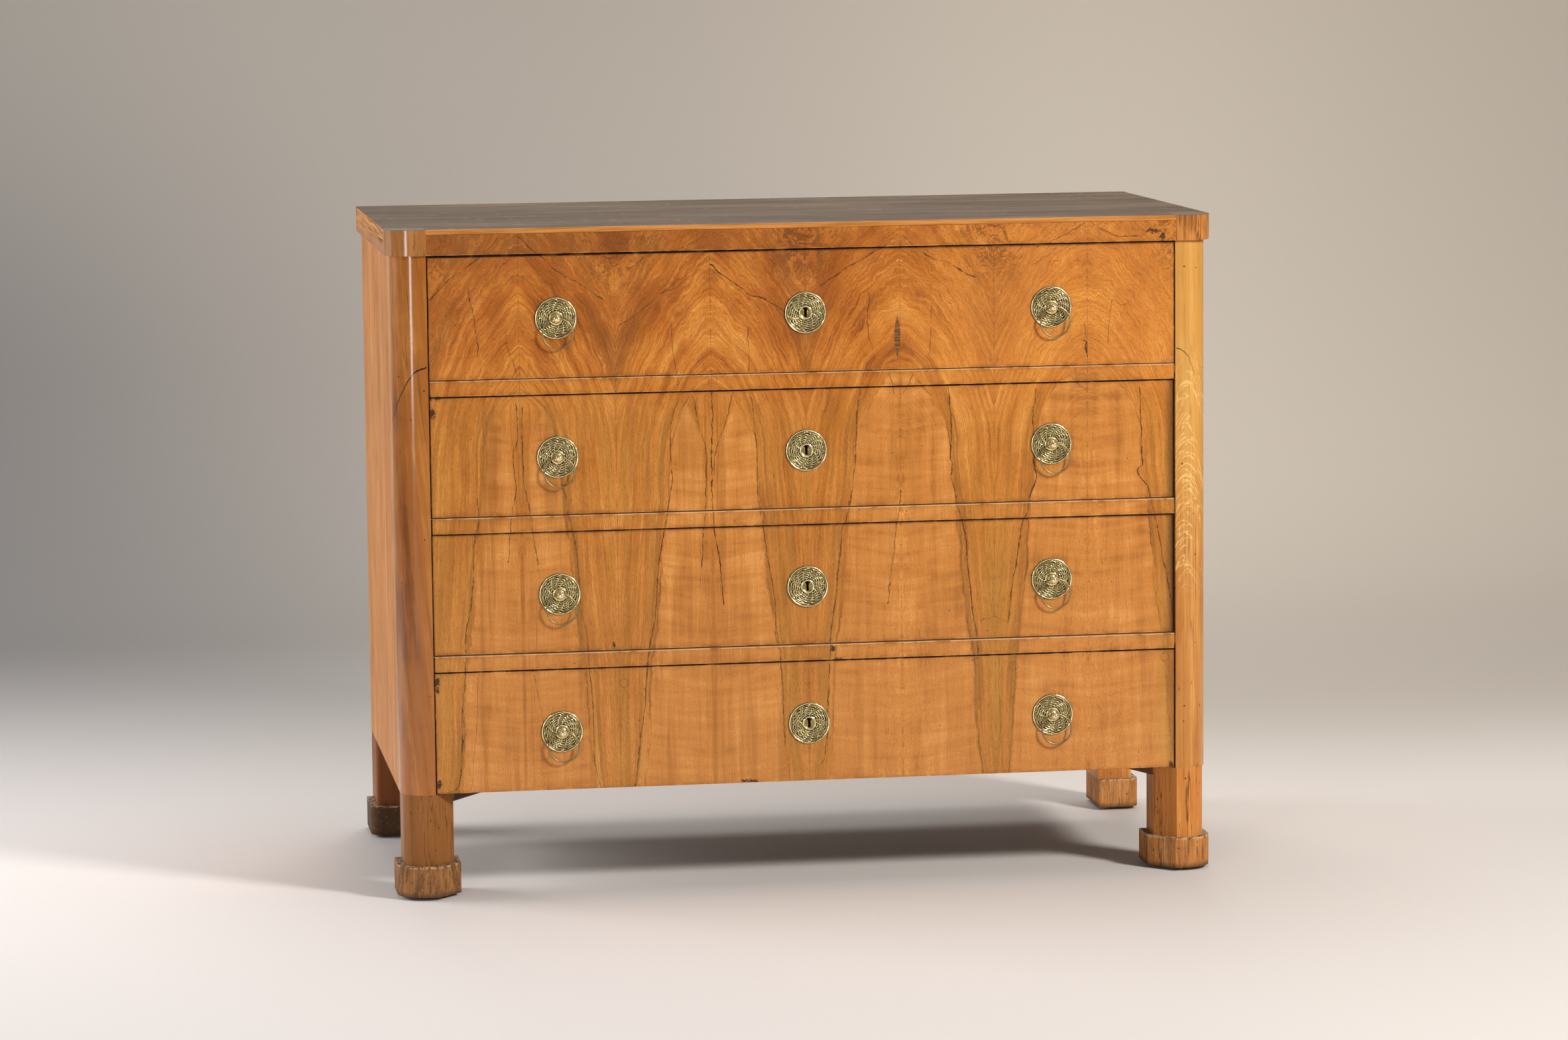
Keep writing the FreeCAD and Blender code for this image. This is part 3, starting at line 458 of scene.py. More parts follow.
    # Drawn cracks and lines
    wobble = net.jitter()
    ragged = net.solid(0.09, 2.0).span(0.35, 0.65, 0.18, 0.62)
    cracks = edge * 0.5 + draw_strokes(z, x + wobble, 140.0, 930.0, DOWN, ragged)
    cracks = cracks + draw_strokes(x, z + wobble, -530.0, 530.0, ACROSS, ragged)
    broken = net.solid(0.06, 3.0, 0.6).span(0.28, 0.5, 0.22, 1.0)
    cracks = net.least(cracks, 1.0) * broken
    sharp = (u.fall(0.1, 0.5)
             * flat.noise((0.01, 0.06, 1), 3.0, 0.6).span(0.38, 0.6, 0.12, 0.85)
             * z.span(520, 740, 0.3, 1.0))
    soft = u.span(LEAF - 0.8, LEAF - 0.3) * 0.28
    seams = net.most(sharp, soft)
    net.lay(net.most(cracks, seams), (0.03, 0.011, 0.004))

    # The lens-shaped patch let into the third seam
    lens = (abs(x - 129.0) - (1.0 - ((z - 768.0) / 30.0) ** 2.0) * 4.6).fall(-0.5, 0.2)
    lens = lens * z.within(739, 797, 0.6)
    bars = flat.noise((0.03, 0.33, 1), 3.0)
    net.lay(lens, bars.ramp((0.4, (0.09, 0.036, 0.012)), (0.65, (0.28, 0.12, 0.035))))

    # Wax-dark specks, wormholes and chips
    dot, number = flat.cells((0.045, 0.045, 1))
    specks = dot.fall(0.024, 0.048) * number.fall(0.5, 0.56)
    dash, dash_number = net.vector(x + z * 0.25, z).cells((0.05, 0.018, 1))
    dashes = dash.fall(0.02, 0.045) * dash_number.fall(0.4, 0.5)
    chip = 0.0
    for chip_x, chip_z, wide, tall in CHIPS:
        spot = x.near(chip_x, wide) * z.near(chip_z, tall)
        chip = net.most(chip, spot)
    torn = (chip + (net.solid(0.22, 5.0, 0.75) - 0.5) * 3.2).span(0.62, 0.76)
    chip = torn * chip.span(0.05, 0.3)
    marks = net.most(net.most(specks, dashes * 0.7), chip)
    net.lay(marks, (0.03, 0.012, 0.005))
    for plug_x, plug_z in PLUGS:
        away = net.math("SQRT", (x - plug_x) ** 2.0 + (z - plug_z) ** 2.0)
        net.lay(away.near(6.0, 0.7) * 0.7, (0.1, 0.04, 0.012))
    dust = net.vector(line, z, u).noise((1.3, 0.1, 0.1), 2.0, 0.65)
    net.lay(pores.span(0.54, 0.68) * 0.55, (0.13, 0.04, 0.007))
    net.lay(dust.span(0.52, 0.63) * (0.58 - inside * 0.4), (0.2, 0.062, 0.009))
    net.lay(grit.span(0.5, 1.0) * 0.24, (0.86, 0.44, 0.13))

    # Pale arrises on drawers and rails, partly rubbed wear and partly painted highlight, with
    # patchy darkening beside them
    rub_and_highlight, gap_band, sill_rub_and_highlight = 0.0, 0.0, 0.0
    # Painted shade in the gaps: along the drawer ends and under each rail
    gap_shade = abs(x).span(521.4, 521.9) * z.span(893.4, 892.9)
    for place, (above, below) in enumerate(LEVELS):
        gap = (above + below) / 2
        rub_and_highlight = net.most(rub_and_highlight, z.near(gap, 2.3))
        gap_band = net.most(gap_band, z.near(gap, 8.0))
        if place == 0:
            gap_shade = net.most(gap_shade, z.within(below - x.span(-500, 300, 2.3, 1.0), above, 0.25))
        elif place % 2 == 0:
            gap_shade = net.most(gap_shade, z.within(below - 1.0, above, 0.25))
        else:
            sill_rub_and_highlight = net.most(sill_rub_and_highlight, z.near(below, 1.6))
    wear = net.solid(0.05, 3.0, 0.6)
    net.lay(gap_band * wear.span(0.38, 0.62) * 0.5, (0.22, 0.07, 0.012))
    net.lay(rub_and_highlight * wear.span(0.6, 0.44) * 0.55, (0.78, 0.44, 0.18))
    net.lay(sill_rub_and_highlight * wear.span(0.66, 0.5) * 0.7, (0.82, 0.6, 0.38))
    # Shade at the ends of the fronts that stand back from the case
    recess = net.y.span(-277.2, -272.6) * net.y.span(-272.3, -272.4)
    shade = net.most(x.span(507, 522), x.span(-519, -522.8) * 0.6)
    net.lay(shade * recess * 0.85, (0.045, 0.02, 0.007))
    # Painted shade in the gaps around the drawer fronts
    net.lay(gap_shade * wear.span(0.34, 0.5, 0.55, 1.0), (0.016, 0.008, 0.004))

    # The lipping along the top
    stripes = net.solid((0.012, 0.2, 0.5), 3.0, 0.6)
    strip = stripes.ramp((0.35, (0.4, 0.145, 0.024)), (0.62, (0.62, 0.25, 0.055)))
    net.lay(z.span(LIPPING - 0.3, LIPPING + 0.2), strip)
    net.lay(z.near(LIPPING, 0.6) * 0.8, (0.05, 0.02, 0.01))

    # Painted shade on edge faces in the gaps, pale at the sills; plain ground wood behind the
    # veneer
    edges = net.most(abs(net.facing[2]), abs(net.facing[0]))
    rim_tone = net.mix(sill_rub_and_highlight, (0.075, 0.032, 0.012), (0.52, 0.35, 0.2))
    net.lay(edges.span(0.9, 0.97), rim_tone)
    ground = net.solid((0.02, 0.25, 0.25), 4.0, 0.6)
    under = ground.ramp((0.35, (0.34, 0.2, 0.095)), (0.62, (0.52, 0.34, 0.17)))
    net.lay(net.y.span(-272.2, -271.8) * z.span(LIPPING + 0.2, LIPPING - 0.3), under)

    shine = net.solid(0.02, 4.0)
    roughness = shine.span(0.3, 0.7, 0.32, 0.44) + cracks * 0.3
    height = (fine * 0.03 + pores * 0.04 + net.solid(0.012) * 0.9
              - cracks * 0.35 - marks * 0.3 - seams * 0.12)
    return net.done(roughness, height, coat=0.1, coat_roughness=0.18, specular=0.2)


def plain_wood(name, grain_axis, streak, length, reach, tones, dark, darkness,
               roughness=(0.32, 0.46), coat=0.0, gloss=0.2, specular=0.2, strokes=(), lean=0.0,
               arch=None, specks=0.3, stain=None, worn=None, cap=False, rear=None, dashes=0.0,
               blocks=None):
    """Straight-grained wood. streak and length are its features per millimetre across and along
    the grain, its three tones lie reach apart, and dark and darkness are its darkest lines.
    stain is the tone of painted shade towards the left end, rear that of painted shade on
    the back at the left, worn is a level with rubbed edges, cap gives the top's upper face, and
    nearer the middle than blocks the wood is in deep shade."""
    net = Net(name)
    across = {"x": (length, streak, streak), "y": (streak, length, streak),
              "z": (streak, streak, length)}[grain_axis]
    here = net.place
    if lean:
        here = net.vector(net.x + net.z * lean, net.y, net.z)
    slow = net.solid(0.006, 2.0)
    streaks = here.noise(across, 4.0, 0.62, 0.15)
    broad = here.noise(tuple(v * 0.22 for v in across), 3.0, 0.55)
    fine = here.noise(tuple(v * 6.0 for v in across), 2.0, 0.6)
    cloud = net.solid((0.013, 0.013, 0.01), 3.0, 0.55)
    tone = (streaks.spread(0.2) * 0.34 + broad.spread(0.17) * 0.3
            + fine.spread(0.22) * 0.12 + cloud.spread(0.18) * 0.24)
    net.colour = tone.ramp(*zip((0.5 - reach, 0.5, 0.5 + reach), tones))
    line = here.noise(tuple(v * 0.8 for v in across), 3.0, 0.5)
    lines = line.near(0.56, 0.03) * broad.span(0.42, 0.58) * darkness
    net.lay(lines, dark)
    if arch:
        middle, width, tall = arch
        bend = ((net.x - middle) / width) ** 2.0 * tall
        wave = net.vector(net.z + bend, net.x * 0.3, net.y * 0.3).noise((0.045, 0.05, 0.05), 3.0)
        pale = net.most(wave.near(0.46, 0.016), wave.near(0.53, 0.016))
        pale = pale * net.z.within(440, 690, 60)
        net.lay(net.z.span(420, 640) * 0.4, (0.68, 0.39, 0.085))
        net.lay(pale * 0.6, (0.88, 0.6, 0.24))
    if dashes:
        mark, chance = net.place.cells((0.15, 0.15, 0.045))
        dashed = mark.fall(0.1, 0.17) * chance.span(dashes, dashes - 0.05) * net.z.span(320, 230)
        net.lay(dashed * 0.9, (0.1, 0.03, 0.01))
    # Painted shade, darker towards the left end
    if stain:
        net.lay(net.x.span(300, -300) * 0.62, stain)
    # Painted shade on the back of the pieces at the left
    if rear:
        net.lay(net.y.span(150, 200) * net.x.span(100, 0) * 0.8, rear)
    if strokes:
        cracks = draw_strokes(net.x, net.z + net.jitter(), -580.0, 580.0, strokes, 0.5)
        net.lay(cracks, SOOT)
    dot, number = net.place.cells(0.06)
    holes = dot.fall(0.05, 0.09) * number.fall(specks, specks + 0.05)
    net.lay(holes, SOOT)
    if blocks:
        net.lay(abs(net.x).span(blocks + 1.0, blocks) * 0.85, (0.03, 0.018, 0.01))
    if worn:
        # Grime blotches, heavier on the left as painted shade
        grime = net.solid((0.16, 0.16, 0.035), 5.0, 0.7)
        grime_with_left_shade = net.x.span(300, -300, 0.4, 0.75)
        net.lay(grime.span(0.42, 0.62) * grime_with_left_shade, (0.085, 0.042, 0.018))
        net.lay(net.z.near(4.5, 9.0) * 0.75, (0.05, 0.024, 0.01))
        net.lay(net.facing[2].span(0.75, 0.95) * 0.85, (0.105, 0.07, 0.042))
        chafe = net.z.near(worn - 0.5, 2.6) * grime.span(0.54, 0.44)
        net.lay(chafe * 0.75, (0.66, 0.46, 0.28))
        scuff = net.solid((0.5, 0.5, 0.3), 3.0, 0.7)
        net.lay(scuff.span(0.62, 0.72) * 0.5, (0.62, 0.5, 0.38))
    if cap:
        net.lay(net.z.span(*UPPER_FACE), top_tone(net))
    rough = (slow + fine * 0.3).span(0.4, 0.8, *roughness)
    height = streaks * 0.1 + fine * 0.07 - holes * 0.4 - lines * 0.1 + slow * 0.8
    if strokes:
        height = height - cracks * 0.4
    if cap:
        coat = net.z.span(*UPPER_FACE[::-1], 0.0, coat)
        rough = net.most(rough, net.z.span(*UPPER_FACE, 0.0, 0.6))
    return net.done(rough, height, coat=coat, coat_roughness=gloss, specular=specular)


def top_tone(net):
    """The dark weathered walnut of the top's upper face."""
    streaks = net.solid((0.004, 0.15, 0.1), 5.0, 0.68)
    broad = net.solid((0.003, 0.014, 0.02), 3.0, 0.6)
    fine = net.solid((0.02, 0.8, 0.5), 2.0, 0.6)
    tone = streaks.spread(0.2) * 0.45 + broad.spread(0.17) * 0.25 + fine.spread(0.2) * 0.3
    colour = tone.ramp((0.2, (0.05, 0.03, 0.016)), (0.5, (0.12, 0.075, 0.042)),
                       (0.8, (0.235, 0.155, 0.092)))
    ring = net.math("SQRT", (net.x + 330) ** 2.0 + (net.y + 40) ** 2.0)
    stain = ring.near(62, 5) * net.solid((0.02, 0.02, 1)).span(0.45, 0.65)
    colour = net.mix(stain * 0.35, colour, (0.28, 0.24, 0.2))
    scratch = net.solid((0.006, 0.22, 0.5), 4.0, 0.75)
    pale = scratch.near(0.64, 0.02) * broad.span(0.45, 0.6)
    dot, number = net.place.cells((0.03, 0.085, 1.0))
    ragged = net.solid((0.25, 0.12, 0.5), 3.0, 0.7)
    flecks = (dot + ragged * 0.3).fall(0.24, 0.36) * number.fall(0.56, 0.64)
    patch = net.solid((0.004, 0.008, 0.01), 3.0, 0.6)
    flecks = flecks * patch.span(0.46, 0.58)
    return net.mix(net.most(pale * 0.5, flecks * 0.7), colour, (0.46, 0.41, 0.36))


def top_wood():
    net = Net("top_walnut_worn")
    streaks = net.solid((0.004, 0.11, 0.1), 3.0, 0.62)
    grain = net.solid((0.006, 0.2, 0.2), 4.0, 0.6)
    end = abs(net.facing[0]).span(0.5, 0.8)
    end_grain = net.solid((0.2, 0.008, 0.45), 4.0, 0.6)
    grain = net.math("MULTIPLY_ADD", end_grain - grain, end, grain)
    edge = grain.spread(0.2).ramp((0.15, (0.24, 0.09, 0.026)), (0.5, (0.47, 0.215, 0.078)),
                                   (0.85, (0.64, 0.35, 0.155)))
    net.colour = net.mix(net.z.span(928.4, 928.0), top_tone(net), edge)
    worn = net.z.near(928.6, 2.2) * streaks.span(0.4, 0.6)
    net.lay(worn * 0.5 * net.z.span(928.9, 928.5), (0.72, 0.46, 0.26))
    rough = grain.span(0.3, 0.7, 0.5, 0.66)
    height = streaks * 0.14 + grain * 0.08 + net.solid((0.006, 0.006, 1)) * 1.2
    return net.done(rough, height, specular=0.03)


def brass(name, worn=0.0, bright=(1.0, 0.87, 0.5), base=(0.32, 0.235, 0.075),
          dark=(0.035, 0.024, 0.008)):
    """Aged brass: bright where the relief stands up, dark in its hollows."""
    net = Net(name)
    relief = net.node("Attribute")
    relief.attribute_name = "relief"
    patina = net.solid(0.16, 4.0, 0.62)
    spots = net.solid(0.9, 3.0, 0.6)
    lift = Wire(net, relief.outputs["Fac"]) + (patina - 0.5) * 0.3 + (spots - 0.5) * 0.25 + worn
    net.colour = lift.ramp((0.2, dark), (0.43, base), (0.66, bright))
    net.lay(patina.span(0.55, 0.75) * 0.4, (0.24, 0.21, 0.085))
    rough = lift.span(0.2, 0.8, 0.46, 0.17) + (spots - 0.5) * 0.12
    height = spots * 0.05 + patina * 0.06
    return net.done(rough, height, metallic=0.88)


def iron():
    net = Net("lock_iron_old")
    mottle = net.solid(0.1, 5.0, 0.65)
    grit = net.solid(1.1, 3.0, 0.6)
    net.colour = mottle.ramp((0.36, (0.045, 0.042, 0.04)), (0.58, (0.115, 0.105, 0.1)),
                             (0.72, (0.2, 0.105, 0.055)))
    rough = mottle.span(0.3, 0.7, 0.42, 0.72)
    return net.done(rough, mottle * 0.12 + grit * 0.05, metallic=0.75)


def glide_black():
    net = Net("glide_black")
    scuff = net.solid(0.3, 4.0, 0.65)
    net.colour = scuff.ramp((0.4, (0.01, 0.01, 0.01)), (0.7, (0.045, 0.042, 0.04)))
    return net.done(scuff.span(0.3, 0.7, 0.35, 0.6), scuff * 0.08)


def pine(name, grain_axis):
    return plain_wood(name, grain_axis, 0.09, 0.0025, 0.35,
                      ((0.33, 0.17, 0.065), (0.5, 0.29, 0.12), (0.64, 0.41, 0.19)),
                      (0.24, 0.095, 0.032), 0.7, (0.55, 0.75), specks=0.05, specular=0.3)


def drawers(*parts):
    """The names of these parts of every drawer."""
    return ["drawer_%d_%s" % (n, part) for n in DRAWERS for part in parts]


def paint(nodes, material):
    for name in nodes:
        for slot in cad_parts[name].material_slots:
            slot.material = material


def wood(node, *look, **more):
    paint([node], plain_wood(*look, **more))


wood("side_panel_left", "side_walnut_left", "z", 0.2, 0.003, 0.36,
     ((0.3, 0.105, 0.026), (0.52, 0.22, 0.068), (0.7, 0.35, 0.14)),
     (0.14, 0.045, 0.012), 0.95, (0.45, 0.62))
wood("side_panel_right", "side_walnut_right", "z", 0.2, 0.003, 0.36,
     ((0.33, 0.125, 0.035), (0.52, 0.225, 0.075), (0.66, 0.33, 0.13)),
     (0.18, 0.065, 0.02), 0.7, coat=0.2, specular=0.4)
wood("front_post_left", "post_walnut_left", "z", 0.1, 0.003, 0.3,
     ((0.21, 0.06, 0.007), (0.37, 0.122, 0.017), (0.52, 0.205, 0.04)),
     (0.11, 0.036, 0.009), 0.5, coat=0.9, gloss=0.13, specular=0.1, lean=0.1,
     strokes=[(2.4, 1, -571, 668, -566, 690, -558, 710, -550, 724, -540, 736, -531, 739,
               -523, 742)])
wood("front_post_right", "post_walnut_right", "z", 0.16, 0.005, 0.32,
     ((0.34, 0.105, 0.014), (0.5, 0.195, 0.034), (0.64, 0.31, 0.08)),
     (0.22, 0.07, 0.014), 0.6, coat=0.5, gloss=0.22, arch=(540, 22, 34), dashes=0.55,
     strokes=[(1.8, 0.9, 524, 742, 532, 740, 540, 734, 548, 716, 553, 702)])
wood("top_corner_blocks", "corner_block_walnut", "z", 0.24, 0.012, 0.22,
     ((0.22, 0.07, 0.011), (0.55, 0.215, 0.043), (0.74, 0.35, 0.1)),
     (0.06, 0.02, 0.006), 0.95, coat=0.9, gloss=0.13, cap=True, stain=(0.27, 0.1, 0.02))
wood("top_doubling_strips", "strip_walnut", "y", 0.2, 0.004, 0.36,
     ((0.28, 0.105, 0.03), (0.5, 0.225, 0.08), (0.66, 0.35, 0.15)),
     (0.17, 0.06, 0.016), 0.7, specular=0.25)
wood("legs", "leg_walnut", "z", 0.13, 0.007, 0.32,
     ((0.3, 0.09, 0.015), (0.56, 0.205, 0.042), (0.72, 0.32, 0.085)),
     (0.1, 0.034, 0.01), 0.9, dashes=0.75, specks=0.75, stain=(0.09, 0.034, 0.009),
     rear=(0.2, 0.055, 0.012), blocks=496.5)
wood("feet", "foot_walnut", "z", 0.16, 0.008, 0.32,
     ((0.27, 0.095, 0.02), (0.54, 0.215, 0.055), (0.74, 0.36, 0.125)),
     (0.07, 0.026, 0.009), 0.9, (0.5, 0.68), dashes=0.4, specks=0.75,
     stain=(0.22, 0.1, 0.035), worn=47.0, rear=(0.022, 0.012, 0.007))
wood("back_boards", "back_pine", "z", 0.09, 0.0025, 0.35,
     ((0.2, 0.095, 0.036), (0.34, 0.18, 0.073), (0.48, 0.28, 0.125)),
     (0.12, 0.05, 0.018), 0.8, (0.6, 0.8), specks=0.15)
wood("bottom_board", "bottom_pine_dark", "x", 0.09, 0.0025, 0.35,
     ((0.07, 0.04, 0.02), (0.12, 0.07, 0.034), (0.2, 0.12, 0.06)),
     (0.04, 0.02, 0.01), 0.7, (0.6, 0.8))
paint(drawers("front") + ["drawer_rails", "top_front_edging"], front_veneer())
paint(["top_board"], top_wood())
paint(["drawer_runners", "drawer_stops"], pine("runner_pine", "y"))
paint(drawers("sides"), pine("drawer_side_pine", "y"))
paint(drawers("back", "bottom"), pine("drawer_back_pine", "x"))
paint(drawers("lock_case", "lock_bolt"), iron())


# Softened arrises on the wooden solids

def soften(name, width):
    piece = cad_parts[name]
    weld = piece.modifiers.new("weld", "WELD")
    weld.merge_threshold = 0.01 * MM
    bevel = piece.modifiers.new("arris", "BEVEL")
    bevel.width = width * MM
    bevel.segments = 2
    bevel.limit_method = "ANGLE"
    bevel.angle_limit = math.radians(40)
    piece.modifiers.new("even", "WEIGHTED_NORMAL").weight = 50


for name in drawers("front") + ["drawer_rails", "feet", "legs"]:
    soften(name, 0.6)


# Brass mounts

def add(name, data):
    made = bpy.data.objects.new(name, data)
    bpy.context.scene.collection.objects.link(made)
    return made


def new_piece(name, mesh, place, body, slot, material, *replaced, tilt=0.0):
    piece = add(name, mesh)
    mesh.materials.append(material)
    piece.location = place
    piece.rotation_euler = (tilt, 0.0, 0.0)
    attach(piece, body)
    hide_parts(*replaced)


def face_outward(mesh, filled=False):
    """Turns all faces outward, after closing open ends where filled."""
    work = bmesh.new()
    work.from_mesh(mesh)
    if filled:
        bmesh.ops.holes_fill(work, edges=[e for e in work.edges if e.is_boundary])
    bmesh.ops.recalc_face_normals(work, faces=work.faces)
    work.to_mesh(mesh)
    work.free()


def looped(name, rings, closed=True, relief=None):
    """A mesh from rings of points, each joined to the next; closed joins the last to the first."""
    count, total = len(rings[0]), len(rings)
    faces = []
    for i in range(total if closed else total - 1):
        near, far = i * count, (i + 1) % total * count
        for j in range(count):
            k = (j + 1) % count
            faces.append((near + j, near + k, far + k, far + j))
    mesh = bpy.data.meshes.new(name)
    mesh.from_pydata([p for ring in rings for p in ring], [], faces)
    wear = mesh.attributes.new("relief", "FLOAT", "POINT")
    wear.data.foreach_set("value", relief or [0.6] * (total * count))
    mesh.shade_smooth()
    mesh.validate()
    face_outward(mesh)
    return mesh


def angles_round(count):
    return [2 * math.pi * i / count for i in range(count)]


def circle(radius, count):
    return [(radius * math.cos(a), radius * math.sin(a)) for a in angles_round(count)]


def turned_mesh(name, profile, count=40):
    """A closed solid of revolution about Y from (radius, y) in mm; its ends are on the axis."""
    rings = [[(x * MM, y * MM, z * MM) for x, z in circle(max(radius, 0.02), count)]
             for radius, y in profile]
    mesh = looped(name, rings, False)
    face_outward(mesh, filled=True)
    return mesh


def torus_mesh(name, radius, wire, turns=96, sides=14):
    """A ring of round wire, a little out of true."""
    rings = []
    for a in angles_round(turns):
        middle = radius * (1 + 0.006 * math.sin(3 * a + 0.7))
        rings.append([((middle + out) * math.cos(a) * MM, side * MM,
                       (middle + out) * math.sin(a) * MM) for out, side in circle(wire, sides)])
    return looped(name, rings)


def merged(name, meshes):
    whole = bmesh.new()
    for mesh in meshes:
        whole.from_mesh(mesh)
    mesh = bpy.data.meshes.new(name)
    whole.to_mesh(mesh)
    whole.free()
    mesh.shade_smooth()
    return mesh


# The rosettes, in mm from the middle: a ribbed field between a collar and two rims, two pins
PLATE_RADIUS = 29.0
TURNS, SECTORS = 180, 12
FIELD_IN, FIELD_OUT = 9.8, 24.3
COLLAR, INNER_RIM, OUTER_RIM = (8.5, 1.25), (25.3, 0.75), (27.7, 1.25)
PIN, PIN_RADIUS = 25.9, 1.25


def smooth_step(value, low, high):
    t = min(max((value - low) / (high - low), 0.0), 1.0)
    return t * t * (3 - 2 * t)


def bead(value, middle, half):
    away = (value - middle) / half
    return math.sqrt(max(0.0, 1.0 - away * away))


def stamped(radius, angle, turned):
    """Height of the rosette's relief above the drawer front, in mm."""
    level = 0.95 + 0.25 * (1 - ((radius - 17) / 8.5) ** 2)
    if radius > FIELD_OUT:
        level = 1.1
    if FIELD_IN - 0.6 < radius < FIELD_OUT + 0.6:
        share = (radius - FIELD_IN) / (FIELD_OUT - FIELD_IN)
        sector = (angle - turned) / (2 * math.pi) * SECTORS + 1.15 * share
        across = sector - math.floor(sector) - 0.5
        from_rib = (0.5 - abs(across)) * 2 * math.pi * radius / SECTORS
        number = math.floor(sector) % SECTORS
        rib = math.exp(-(from_rib / 0.62) ** 2)
        bulge = (1 - 4 * across * across) * (0.9 + 1.3 * share)
        pitch = (FIELD_OUT - FIELD_IN) / (5.6 + 0.5 * math.sin(number * 2.3))
        step = (radius - FIELD_IN - bulge + 0.35 * math.sin(number * 1.7)) / pitch
        step = step - math.floor(step)
        scale = math.exp(-((step - 0.62) / 0.2) ** 2) + 0.35 * (1 - step)
        dent = 0.82 + 0.26 * math.sin(5.1 * number + 2.3 * radius) * math.sin(3.0 * angle + 1.3)
        level += (1.25 * scale * dent * smooth_step(from_rib, 0.3, 1.3) + 1.15 * rib
                  - 0.45 * smooth_step(from_rib, 1.5, 0.7) * smooth_step(from_rib, 0.3, 0.7))
    uneven = 1.25 + 0.35 * math.sin(7 * angle + 0.8) * math.sin(3 * angle)
    for (middle, half), foot, tall in ((OUTER_RIM, 1.0, uneven), (INNER_RIM, 1.0, 0.9),
                                       (COLLAR, 1.2, 1.6)):
        if abs(radius - middle) < half:
            level = max(level, foot + tall * bead(radius, middle, half))
    pin = math.hypot(radius * math.cos(angle), abs(radius * math.sin(angle)) - PIN)
    if pin < PIN_RADIUS:
        level = 1.4 + 1.3 * bead(pin, 0.0, PIN_RADIUS)
    elif pin < PIN_RADIUS + 0.45:
        level = min(level, 0.75)
    if radius > PLATE_RADIUS - 0.1:
        level = min(level, 0.9)
    return min(level, 2.85)


def key_outline(angle, rise):
    """The keyhole's edge seen from its pole, where its slot meets its eye."""
    eye, half, tall = 3.4, 1.9, 15.4
    join = math.sqrt(eye * eye - half * half)
    dx, dz = math.cos(angle), math.sin(angle)
    reach = dz * join + math.sqrt(eye * eye - (dx * join) ** 2)
    if dz < 0:
        bottom = tall - eye - join
        slot = min(half / max(abs(dx), 1e-6), bottom / -dz)
        reach = max(reach, slot)
    pole = rise + tall / 2 - eye - join
    return reach * dx, pole + reach * dz


def plate_mesh(name, turned, keyed):
    rings, relief = [], []
    angles = angles_round(TURNS)

    def ring_at(points, heights):
        rings.append([(px * MM, -h * MM, pz * MM) for (px, pz), h in zip(points, heights)])
        relief.extend((h - 0.9) / 1.9 for h in heights)

    inner = [key_outline(a, 1.7) for a in angles] if keyed else circle(3.6, TURNS)
    outer = circle(7.3, TURNS)
    ring_at(inner, [0.0] * TURNS)
    ring_at(inner, [1.5] * TURNS)
    for share in (0.06, 0.4, 0.75, 1.0):
        ring_at([(p[0] + (q[0] - p[0]) * share, p[1] + (q[1] - p[1]) * share)
                 for p, q in zip(inner, outer)], [1.75] * TURNS)
    radii = [7.6 + 0.3 * i for i in range(8)] + [9.8 + 0.36 * i for i in range(41)]
    radii += [24.5 + 0.25 * i for i in range(18)] + [PLATE_RADIUS]
    for radius in radii:
        ring_at(circle(radius, TURNS), [stamped(radius, a, turned) for a in angles])
    ring_at(circle(PLATE_RADIUS, TURNS), [0.0] * TURNS)
    return looped(name, rings, True, relief)


# The posts, as (radius, y) in mm: a ball, a neck, a drum with the ring's hole, a foot, a shank
BALL = 5.3
TIP = -21.0
RING_HOLE = -7.4
POST_PROFILE = [(0.0, TIP)]
POST_PROFILE += [(BALL * math.sin(math.radians(a)), TIP + BALL - BALL * math.cos(math.radians(a)))
                 for a in range(10, 131, 8)]
POST_PROFILE += [(3.55, -11.9), (3.1, -11.4), (3.35, -10.9), (3.95, -10.4), (4.0, RING_HOLE),
                 (3.95, -5.0), (3.6, -4.2), (4.4, -3.7), (5.4, -3.3), (6.0, -2.7), (6.1, -1.85),
                 (2.2, -1.8), (2.2, 27.0), (1.9, 28.0), (0.0, 28.2)]


def drilled_post():
    """The post with its ring hole bored through."""
    drill_mesh = bpy.data.meshes.new("drill")
    drill = bmesh.new()
    bmesh.ops.create_cone(drill, cap_ends=True, segments=24, radius1=2.5 * MM, radius2=2.5 * MM,
                          depth=20 * MM, matrix=Matrix.Translation((0, RING_HOLE * MM, 0))
                          @ Matrix.Rotation(math.radians(90), 4, "Y"))
    drill.to_mesh(drill_mesh)
    drill.free()
    post = add("post_blank", turned_mesh("pull_post", POST_PROFILE))
    cutter = add("drill", drill_mesh)
    bore = post.modifiers.new("bore", "BOOLEAN")
    bore.operation = "DIFFERENCE"
    bore.object = cutter
    bore.solver = "EXACT"
    bpy.context.view_layer.update()
    result = bpy.data.meshes.new_from_object(
        post.evaluated_get(bpy.context.evaluated_depsgraph_get()))
    for made in (post, cutter):
        bpy.data.objects.remove(made)
    return result


def square_nut():
    nut = bmesh.new()
    bmesh.ops.create_cube(nut, size=1.0, matrix=Matrix.Translation((0, 24.0 * MM, 0))
                          @ Matrix.Rotation(math.radians(9), 4, "Y")
                          @ Matrix.Diagonal((9.6 * MM, 3.8 * MM, 9.6 * MM, 1)))
    bmesh.ops.bevel(nut, geom=nut.edges[:] + nut.verts[:], offset=0.5 * MM, segments=2,
                    affect="EDGES", profile=0.5)
    mesh = bpy.data.meshes.new("nut")
    nut.to_mesh(mesh)
    nut.free()
    return mesh


plate_brass = brass("plate_brass_aged")
post_brass = brass("post_brass_aged", worn=0.05, base=(0.4, 0.3, 0.12))
ring_brass = brass("ring_brass_worn", worn=-0.2, bright=(0.92, 0.82, 0.56),
                   base=(0.36, 0.285, 0.14))
post = drilled_post()
nut = square_nut()

